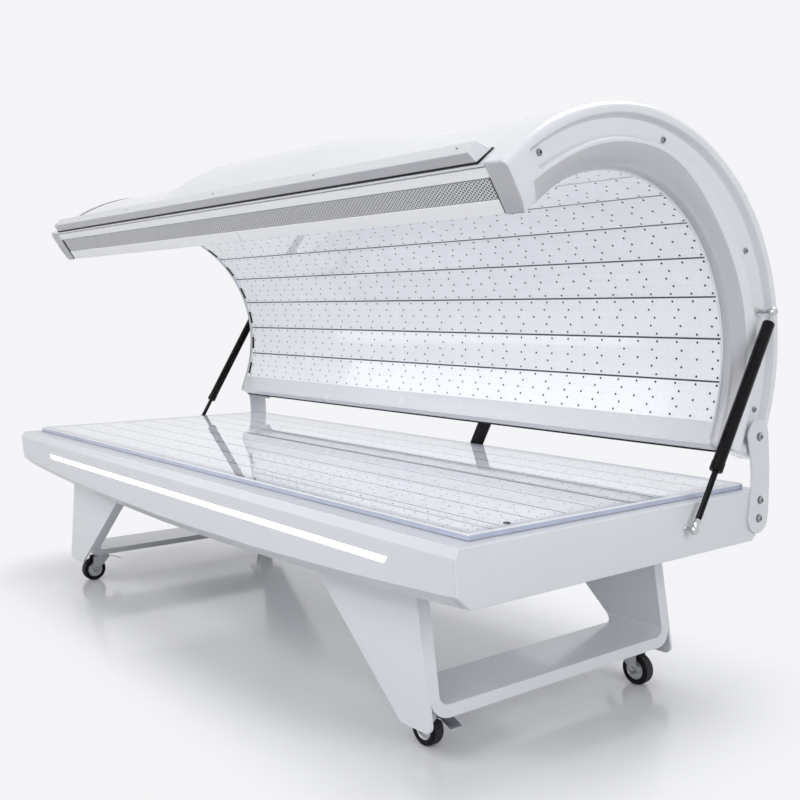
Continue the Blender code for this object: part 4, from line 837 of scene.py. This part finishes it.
def make_strut(side, sign):
    way = STRUT_HIGH - STRUT_LOW
    length, lean = way.length, -atan2(way.x, way.y)
    placing = Matrix.Translation((sign * STRUT_X, *STRUT_LOW)) @ Matrix.Rotation(lean, 4, "X")
    mouth, top = FITTING_LENGTH + ROD_EXPOSED, length - TOP_FITTING

    def fitting(name, profile, material, body, replaces=()):
        piece(turned(name + side, profile, placing), material, body + side, replaces)

    rod = [(0.0, FITTING_LENGTH - 0.004), (ROD, FITTING_LENGTH - 0.004), (ROD, mouth + ROD_INSIDE),
           (0.0, mouth + ROD_INSIDE)]
    fitting("strut_piston_rod_", rod, BLACK_PAINT, "strut_rod_", ["strut_rod_" + side])
    socket = ball_arc(0.0, -90, 48) + [(FITTING_NECK, 0.0095), (FITTING_NECK, FITTING_LENGTH - 0.0012),
                                       (FITTING_NECK - 0.001, FITTING_LENGTH), (0.0, FITTING_LENGTH)]
    fitting("strut_rod_socket_", socket, CHROME, "strut_rod_")
    tube = [(TUBE_HOLE, mouth), (COLLAR - 0.0015, mouth), (COLLAR, mouth + 0.0015), (COLLAR, mouth + 0.019),
            (TUBE, mouth + 0.020), (TUBE, mouth + 0.021), (TUBE, top - 0.004), (TUBE - 0.0008, top - 0.0012),
            (TUBE - 0.0022, top), (TUBE_HOLE, top), (TUBE_HOLE, top - 0.012), (TUBE_BORE, top - 0.016),
            (TUBE_BORE, mouth + 0.009), (TUBE_HOLE, mouth + 0.008)]
    cylinder = "strut_cylinder_" + side
    piece(spun("strut_tube_" + side, tube, placing, TUBE_STEPS), BLACK_PAINT, cylinder,
          [cylinder], 30.0)
    neck = [(0.0, top - 0.010), (TOP_NECK, top - 0.010), (TOP_NECK, top + 0.003), (TOP_NECK - 0.0008, top + 0.0045)]
    fitting("strut_top_socket_", neck + ball_arc(length, -62, 90), CHROME, "strut_cylinder_")
    for body, face, place in (("base", BASE_HALF, STRUT_LOW), ("canopy", CAP_FACE - RECESS_DEPTH, STRUT_HIGH)):
        reach = STRUT_X - BALL - STUD_GAP - face
        stud = [(0.0, STUD_GAP), (STUD_FLANGE, STUD_GAP), (STUD_FLANGE, 0.0022), (0.0072, 0.0032),
                (0.0052, 0.0034), (0.0046, 0.0044), (0.0040, reach * 0.45), (0.0054, reach * 0.5),
                (0.0054, reach * 0.68), (0.0040, reach * 0.74), (0.0038, reach), (0.0, reach)]
        mesh = turned(f"{body}_stud_form_{side}", stud, along_x(sign, face, *place), STUD_STEPS)
        piece(mesh, CHROME, body, [f"{body}_stud_{side}"])


# Casters. Profiles are (radius, distance from the wheel's middle), for one side of the wheel.

CASTER_TURNS = {"front_left": 270.0, "front_right": 180.0, "rear_left": 0.0, "rear_right": 0.0}
TRAIL, AXLE_Z, WHEEL_HALF, FORK_OUTSIDE = 0.024, 0.0325, 0.0133, 0.01675
TYRE_SIDE = ((0.0205, 0.0040), (0.0212, 0.0014), (0.0232, 0.0004), (0.0262, 0.0), (0.0292, 0.0004),
             (0.0311, 0.0019), (0.0320, 0.0040), (0.0317, 0.0046), (0.0317, 0.0054), (0.0324, 0.0060))
TYRE_MIDDLE = ((0.0325, 0.0030), (0.0319, 0.0024), (0.0319, 0.0016), (0.0325, 0.0010))
TREAD_FROM, TREAD_TO = 6, 20
HUB_SIDE = ((0.0045, 0.0128), (0.0085, 0.0128), (0.0092, 0.0120), (0.0096, 0.0062), (0.0110, 0.0054),
            (0.0165, 0.0058), (0.0178, 0.0076), (0.0192, 0.0100), (0.0207, 0.0110), (0.0211, 0.0090))
NUT = ((0.0, 0.0042), (0.0036, 0.0042), (0.0060, 0.0036), (0.0064, 0.0030), (0.0064, 0.0006), (0.0078, 0.0005),
       (0.0078, -0.0004), (0.0, -0.0004))
NUT_HEXAGONS = (2, 3, 4)
TYRE_STEPS, HUB_STEPS, NUT_STEPS = 56, 48, 24


def both_sides(profile):
    return [*profile, *((radius, -height) for radius, height in reversed(profile))]


def make_caster(place):
    low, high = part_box("caster_plate_" + place)
    middle = (low + high) / 2
    turn = Matrix.Rotation(radians(CASTER_TURNS[place]), 4, "Z")
    hang = Matrix.Translation((TRAIL, 0.0, AXLE_Z)) @ Matrix.Rotation(radians(90), 4, "X")
    axle = Matrix.Translation((middle.x, middle.y, 0.0)) @ turn @ hang
    wheel, fork, brake, plate = (f"caster_{part}_{place}" for part in ("wheel", "fork", "brake", "plate"))
    tyre = both_sides([(radius, WHEEL_HALF - depth) for radius, depth in TYRE_SIDE] + list(TYRE_MIDDLE))
    mesh = spun("caster_tyre_" + place, tyre, axle, TYRE_STEPS, lambda i, j: int(TREAD_FROM <= j <= TREAD_TO))
    piece(mesh, [RUBBER, TREAD], wheel, [wheel], 50.0)
    mesh = spun("caster_hub_" + place, both_sides(HUB_SIDE), axle, HUB_STEPS)
    piece(mesh, HUB, wheel)
    soften(fork, ZINC, fork, 0.0007)
    soften(brake, CHROME, brake, 0.0008)
    soften(plate, ZINC, "base", 0.0006)
    for end, angle in (("a", 0.0), ("b", 180.0)):
        flip = Matrix.Rotation(radians(angle), 4, "X") @ Matrix.Translation((0, 0, FORK_OUTSIDE))
        mesh = turned(f"axle_nut_{end}_{place}", NUT, axle @ flip, NUT_STEPS, NUT_HEXAGONS)
        piece(mesh, DARK_CHROME, fork, sharp=35.0)


# Base

DECK_TOP, DECK_Z, PANEL_X = 0.4393, 0.427, 0.952
END_SECTION = ((0.3912, 0.427), (0.3892, 0.350), (0.3602, 0.325), (-0.4123, 0.325), (-0.4413, 0.350),
               (-0.4473, 0.411), (-0.4393, 0.427))
# Depth behind the end's face and how far the section is drawn in there
END_GROOVE = ((0.0048, 0.0), (0.0045, 0.0007), (0.0037, 0.0007), (0.0034, 0.0))
END_ROUND, END_STEPS = 0.0026, 4
FASCIA_EDGE, FASCIA_MEETS, HAIRLINE = (-0.4385, -0.4362), -0.4361, 0.0001
RIM_BEAD = ((-0.4398, 0.4262), (-0.4398, 0.4270), (-0.4390, 0.4277), (-0.4374, 0.4280), (-0.4358, 0.4277),
            (-0.4350, 0.4270), (-0.4350, 0.4262))
RIM_RINGS, RIM_MARGIN, HANDLE_FRONT = 9, 0.002, -0.75


def inset(outline, distance):
    """Draws in a clockwise convex outline."""
    lines = []
    for a, b in zip(outline, outline[1:] + outline[:1]):
        way = (np.array(b) - a) / np.hypot(*(np.array(b) - a))
        lines.append((a + np.array((way[1], -way[0])) * distance, way))
    drawn = []
    for (a, u), (b, v) in zip(lines[-1:] + lines[:-1], lines):
        off = b - a
        drawn.append(a + u * (off[0] * v[1] - off[1] * v[0]) / (u[0] * v[1] - u[1] * v[0]))
    return drawn


def make_base_end(side, sign):
    """An end panel with a fine joint just behind its face."""
    steps = [(BASE_HALF - PANEL_X, 0.0), *END_GROOVE]
    for k in range(END_STEPS + 1):
        angle = pi / 2 * k / END_STEPS
        steps.append((END_ROUND * (1 - sin(angle)), END_ROUND * (1 - cos(angle))))
    rings = [[Vector((sign * (BASE_HALF - depth), y, z)) for y, z in inset(END_SECTION, draw)]
             for depth, draw in steps]
    mesh = loft("base_end_form_" + side, rings)
    piece(mesh, SHEET, "base", ["base_end_" + side], 12.0)


def meet_panels(x, y, z):
    """Closes the hairline between a long sheet and the end panels, and between the fascia and the rim."""
    if abs(x) > PANEL_X - END_MARGIN:
        x = copysign(PANEL_X + HAIRLINE, x)
    if z > DECK_Z - RIM_MARGIN and FASCIA_EDGE[0] < y < FASCIA_EDGE[1]:
        y, z = FASCIA_MEETS, DECK_Z
    return x, y, z


def make_base():
    for node, width in (("base_fascia", 0.0015), ("base_rear_panel", 0.0012), ("deck_rim", 0.0003),
                        ("base_bottom_pan", 0.001)):
        soften(node, SHEET, "base", width, reshape=meet_panels)
    for side, sign in SIDES:
        make_base_end(side, sign)
        soften("leg_" + side, LEG, "base", 0.0022, 3)
        soften("hinge_plate_" + side, SHEET, "base", 0.0012)
    soften("front_panel", PANEL, "canopy", 0.0012)
    handle = soften("handle_bar", HANDLE, "canopy", 0.0012)
    # The handle's front faces, which face forward and down, get the grey of painted shade
    handle.data.materials.append(PAINTED_SHADE_AND_JOINT_GREY)
    _, slope, _ = handle_frame()
    for polygon in handle.data.polygons:
        if polygon.normal.dot(slope) < HANDLE_FRONT:
            polygon.material_index = 1
    soften("mains_inlet", PLASTIC, "base", 0.0006)
    soften("power_supply", SUPPLY, "base", 0.0012)
    soften("light_strip", DIFFUSER, "base", 0.0006)
    # A rounded bead over the joint of the fascia and the rim
    spots = np.linspace(-PANEL_X, PANEL_X, RIM_RINGS)
    bar("rim_bead", RIM_BEAD, spots, GLOSS, "base", sharp=70.0)


# Deck: the clear sheet and the boards under it

DECK_CORNER, DECK_CORNER_STEPS, DECK_CHAMFER, DECK_FOOT = 0.004, 4, 0.0026, 0.0014
# Finishes of the sheet's foot, edge and chamfer: the foot's dark grey is a painted contact shadow, and the chamfer's
# pale colour a painted reflection
DECK_KINDS = (4, 2, 3, 3)
BED_BOARDS, BED_STRIPS, BED_GAP, BED_LENS, BED_ROWS = (1, 2, 3), 3, 0.0034, 0.0030, (0.22, 0.50, 0.78)
BED_MARGIN, BED_SEAM_LOW, BED_SEAM_TOP = 0.006, 0.0034, 0.0005
GROMMET_PLACE, GROMMET_STEPS = (0.922, -0.289, DECK_TOP), 32
GROMMET = ((0.0, 0.0004), (0.0036, 0.0004), (0.0040, 0.0013), (0.0058, 0.0015), (0.0066, 0.0008),
           (0.0066, -0.0004), (0.0, -0.0004))


def make_sheet():
    low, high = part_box("deck_sheet")
    middle, half = (low + high) / 2, (high - low) / 2
    rings = []
    for z, draw in ((low.z, DECK_FOOT), (low.z + DECK_FOOT, 0.0), (high.z - DECK_CHAMFER, 0.0),
                    (high.z - DECK_CHAMFER * 0.3, DECK_CHAMFER * 0.4), (high.z, DECK_CHAMFER)):
        ring = []
        for a, b, start in ((1, 1, 0), (-1, 1, 90), (-1, -1, 180), (1, -1, 270)):
            centre = Vector((middle.x + a * (half.x - DECK_CORNER), middle.y + b * (half.y - DECK_CORNER), 0.0))
            for k in range(DECK_CORNER_STEPS + 1):
                angle = radians(start + 90 * k / DECK_CORNER_STEPS)
                ring.append(centre + around(DECK_CORNER - draw, angle, z))
        rings.append(ring)
    mesh = loft("deck_acrylic", rings, lambda i, j: DECK_KINDS[i], (1, 0))
    piece(mesh, [ACRYLIC, UNDERSIDE, ACRYLIC_EDGE, ACRYLIC_CHAMFER_REFLECTION, ACRYLIC_FOOT_SHADOW], "base",
          ["deck_sheet"], 10.0)


def make_bed():
    out, step = Vector((0, 0, 1)), Vector((0, 1, 0))
    for number in BED_BOARDS:
        low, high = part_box(f"bed_led_board_{number}")
        pitch = (high.y - low.y) / BED_STRIPS
        dots = Dots()
        for strip in range(BED_STRIPS):
            start = low.y + pitch * strip
            first = Vector((0.0, start + BED_GAP / 2, high.z))
            last = Vector((0.0, start + pitch - BED_GAP / 2, high.z))
            label = f"{number}_{strip + 1}"
            make_board("bed_board_" + label, first, last, out, high.x, "base", f"bed_led_board_{number}")
            dots.fill(first, step, pitch - BED_GAP, out, high.x - BED_MARGIN, BED_LENS, BED_ROWS)
            section = corners(start - BED_GAP / 2, start + BED_GAP / 2, high.z - BED_SEAM_LOW,
                              high.z - BED_SEAM_TOP)
            bar("bed_seam_" + label, section, (low.x, high.x), SEAM_DARK, "base")
        dots.add(f"bed_lenses_{number}", "base", LENS_GREY)


def make_grommet():
    mesh = turned("deck_grommet", GROMMET, Matrix.Translation(GROMMET_PLACE), GROMMET_STEPS)
    piece(mesh, SEAM_DARK, "base")


# Cable strap

STRAP_WIDTH, STRAP_THICKNESS, STRAP_STEPS = 0.048, 0.003, 24
STRAP_FOOT, STRAP_TOP = (0.136, 0.374), (0.212, 0.336)
STRAP_SECTION = ((-1, -0.4), (-0.94, -1), (0.94, -1), (1, -0.4), (1, 0.4), (0.94, 1), (-0.94, 1), (-1, 0.4))


def make_strap():
    low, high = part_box("cable_strap")
    foot, top = Vector((*STRAP_FOOT, low.z)), Vector((*STRAP_TOP, high.z))
    section = [Vector((a * STRAP_WIDTH / 2, b * STRAP_THICKNESS / 2, 0.0)) for a, b in STRAP_SECTION]
    spots = [foot + (top - foot) * (i / STRAP_STEPS) for i in range(STRAP_STEPS + 1)]
    rings = [[spot + p for p in section] for spot in spots]
    obj = show(loft("strap_webbing", rings), WEBBING, 50.0)
    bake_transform(obj)
    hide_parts("cable_strap")


# Studio

CAMERA_PLACE, CAMERA_YAW, CAMERA_PITCH = (2.096, -1.461, 0.788), 51.145, -5.028
CAMERA_LENS, CAMERA_SENSOR = 45.73, 36.0
PAPER, SKY, SKY_STRENGTH = (0.905, 0.91, 0.93, 1.0), (0.97, 0.98, 1.0, 1.0), 0.14
# The floor as it is seen, and as it throws light back at the object
FLOOR_COLOUR, FLOOR_BOUNCE, FLOOR_SIZE = (0.93, 0.932, 0.95), (0.60, 0.605, 0.62, 1.0), 30.0
# Half sizes of the shaded patch of floor, and how far from it the floor turns into paper
SHADED, FADE_NEAR, FADE_FAR = (0.85, 0.27, 0.0), 0.08, 0.40
SEEN_RAYS = ("Is Camera Ray", "Is Glossy Ray", "Is Transmission Ray")
LAMP_COLOUR = (0.99, 0.993, 1.0)
# Place, target, size, power, and whether the lamp shows in reflections
LAMPS = {
    "front_high": ((0.4, -2.6, 2.6), (0.0, 0.0, 0.5), (2.2, 1.4), 42.0, True),
    "front_low": ((0.3, -3.6, 1.2), (0.0, 0.2, 0.7), (3.4, 1.4), 15.0, True),
    "front_left": ((-2.6, -2.4, 1.4), (0.0, 0.2, 0.7), (2.0, 1.6), 14.0, True),
    "front_right": ((2.6, -2.6, 1.6), (0.2, 0.0, 0.6), (2.0, 1.6), 13.0, True),
    "side": ((3.4, -0.2, 1.5), (0.5, 0.0, 0.5), (2.0, 1.6), 34.0, False),
    "left_fill": ((-2.9, 0.5, 2.4), (-0.6, 0.0, 0.6), (1.8, 1.2), 14.0, False),
    "rear_fill": ((-0.2, 2.9, 2.5), (0.0, 0.3, 0.7), (3.0, 1.2), 22.0, False),
    "back": ((0.6, 1.2, 3.0), (0.1, 0.2, 0.8), (2.0, 1.6), 35.0, True),
}


def make_floor():
    points = [(x, y, 0.0) for x, y in corners(-FLOOR_SIZE, FLOOR_SIZE, -FLOOR_SIZE, FLOOR_SIZE)]
    mesh = mesh_of("studio_floor", points, [(0, 1, 2, 3)])
    floor = put("studio_floor", mesh)
    material = surface("floor_gloss", FLOOR_COLOUR, 0.13, (2, 0.01), grain=(3, 0.04), bump=(26, 0.06, 0.004))
    tree = material.node_tree

    def vector(operation, source):
        return node_of(tree, "ShaderNodeVectorMath", {0: source}, operation=operation)

    past = vector("SUBTRACT", vector("ABSOLUTE", node_of(tree, "ShaderNodeTexCoord").outputs["Object"]))
    past.inputs[1].default_value = SHADED
    reach = vector("LENGTH", vector("MAXIMUM", past))
    fade = node_of(tree, "ShaderNodeMapRange", {"Value": reach.outputs["Value"]}, interpolation_type="SMOOTHSTEP",
                   From_Min=FADE_NEAR, From_Max=FADE_FAR)
    seen = any_ray(tree, *SEEN_RAYS)
    share = node_of(tree, "ShaderNodeMath", {0: fade, 1: seen}, operation="MULTIPLY")
    bounce = node_of(tree, "ShaderNodeBsdfDiffuse", Color=FLOOR_BOUNCE)
    glow = node_of(tree, "ShaderNodeEmission", Color=PAPER, Strength=1.0)
    lit = mix_of(tree, seen, bounce, tree.nodes["Principled BSDF"])
    wire(tree, tree.nodes["Material Output"], {"Surface": mix_of(tree, share, lit, glow)})
    mesh.materials.append(material)


def make_world():
    """Paper white for rays that are seen, and a dim sky for those that carry light."""
    world = bpy.data.worlds.new("studio")
    bpy.context.scene.world = world
    world.use_nodes = True
    world.cycles.sampling_method = "NONE"
    tree = world.node_tree
    lit = tree.nodes["Background"]
    lit.inputs["Color"].default_value = SKY
    lit.inputs["Strength"].default_value = SKY_STRENGTH
    paper = node_of(tree, "ShaderNodeBackground", Color=PAPER, Strength=1.0)
    wire(tree, tree.nodes["World Output"], {"Surface": mix_of(tree, any_ray(tree, *SEEN_RAYS), lit, paper)})


def make_lamp(name, place, target, size, power, mirrored):
    data = bpy.data.lights.new(name, "AREA")
    data.shape = "RECTANGLE"
    data.size, data.size_y = size
    data.energy = power
    data.color = LAMP_COLOUR
    lamp = put(name, data)
    lamp.visible_glossy = mirrored
    lamp.location = place
    lamp.rotation_euler = (Vector(target) - Vector(place)).to_track_quat("-Z", "Y").to_euler()


def make_camera():
    data = bpy.data.cameras.new("camera")
    data.lens, data.sensor_width = CAMERA_LENS, CAMERA_SENSOR
    camera = put("camera", data)
    camera.location = CAMERA_PLACE
    camera.rotation_euler = (radians(90 + CAMERA_PITCH), 0.0, radians(CAMERA_YAW))
    bpy.context.scene.camera = camera


make_camera()
make_roof()
make_roof_seam_shadows()
for side, sign in SIDES:
    make_cap(side, sign)
    make_strut(side, sign)
    make_arch_bead(side, sign)
make_canopy_boards()
make_rail()
make_grille()
make_handle_shadow_strip()
make_fasteners()
for place in CASTER_TURNS:
    make_caster(place)
make_base()
make_sheet()
make_bed()
make_grommet()
make_strap()
make_floor()
make_world()
for name, setting in LAMPS.items():
    make_lamp(name, *setting)
bpy.context.scene.view_settings.view_transform = "Standard"
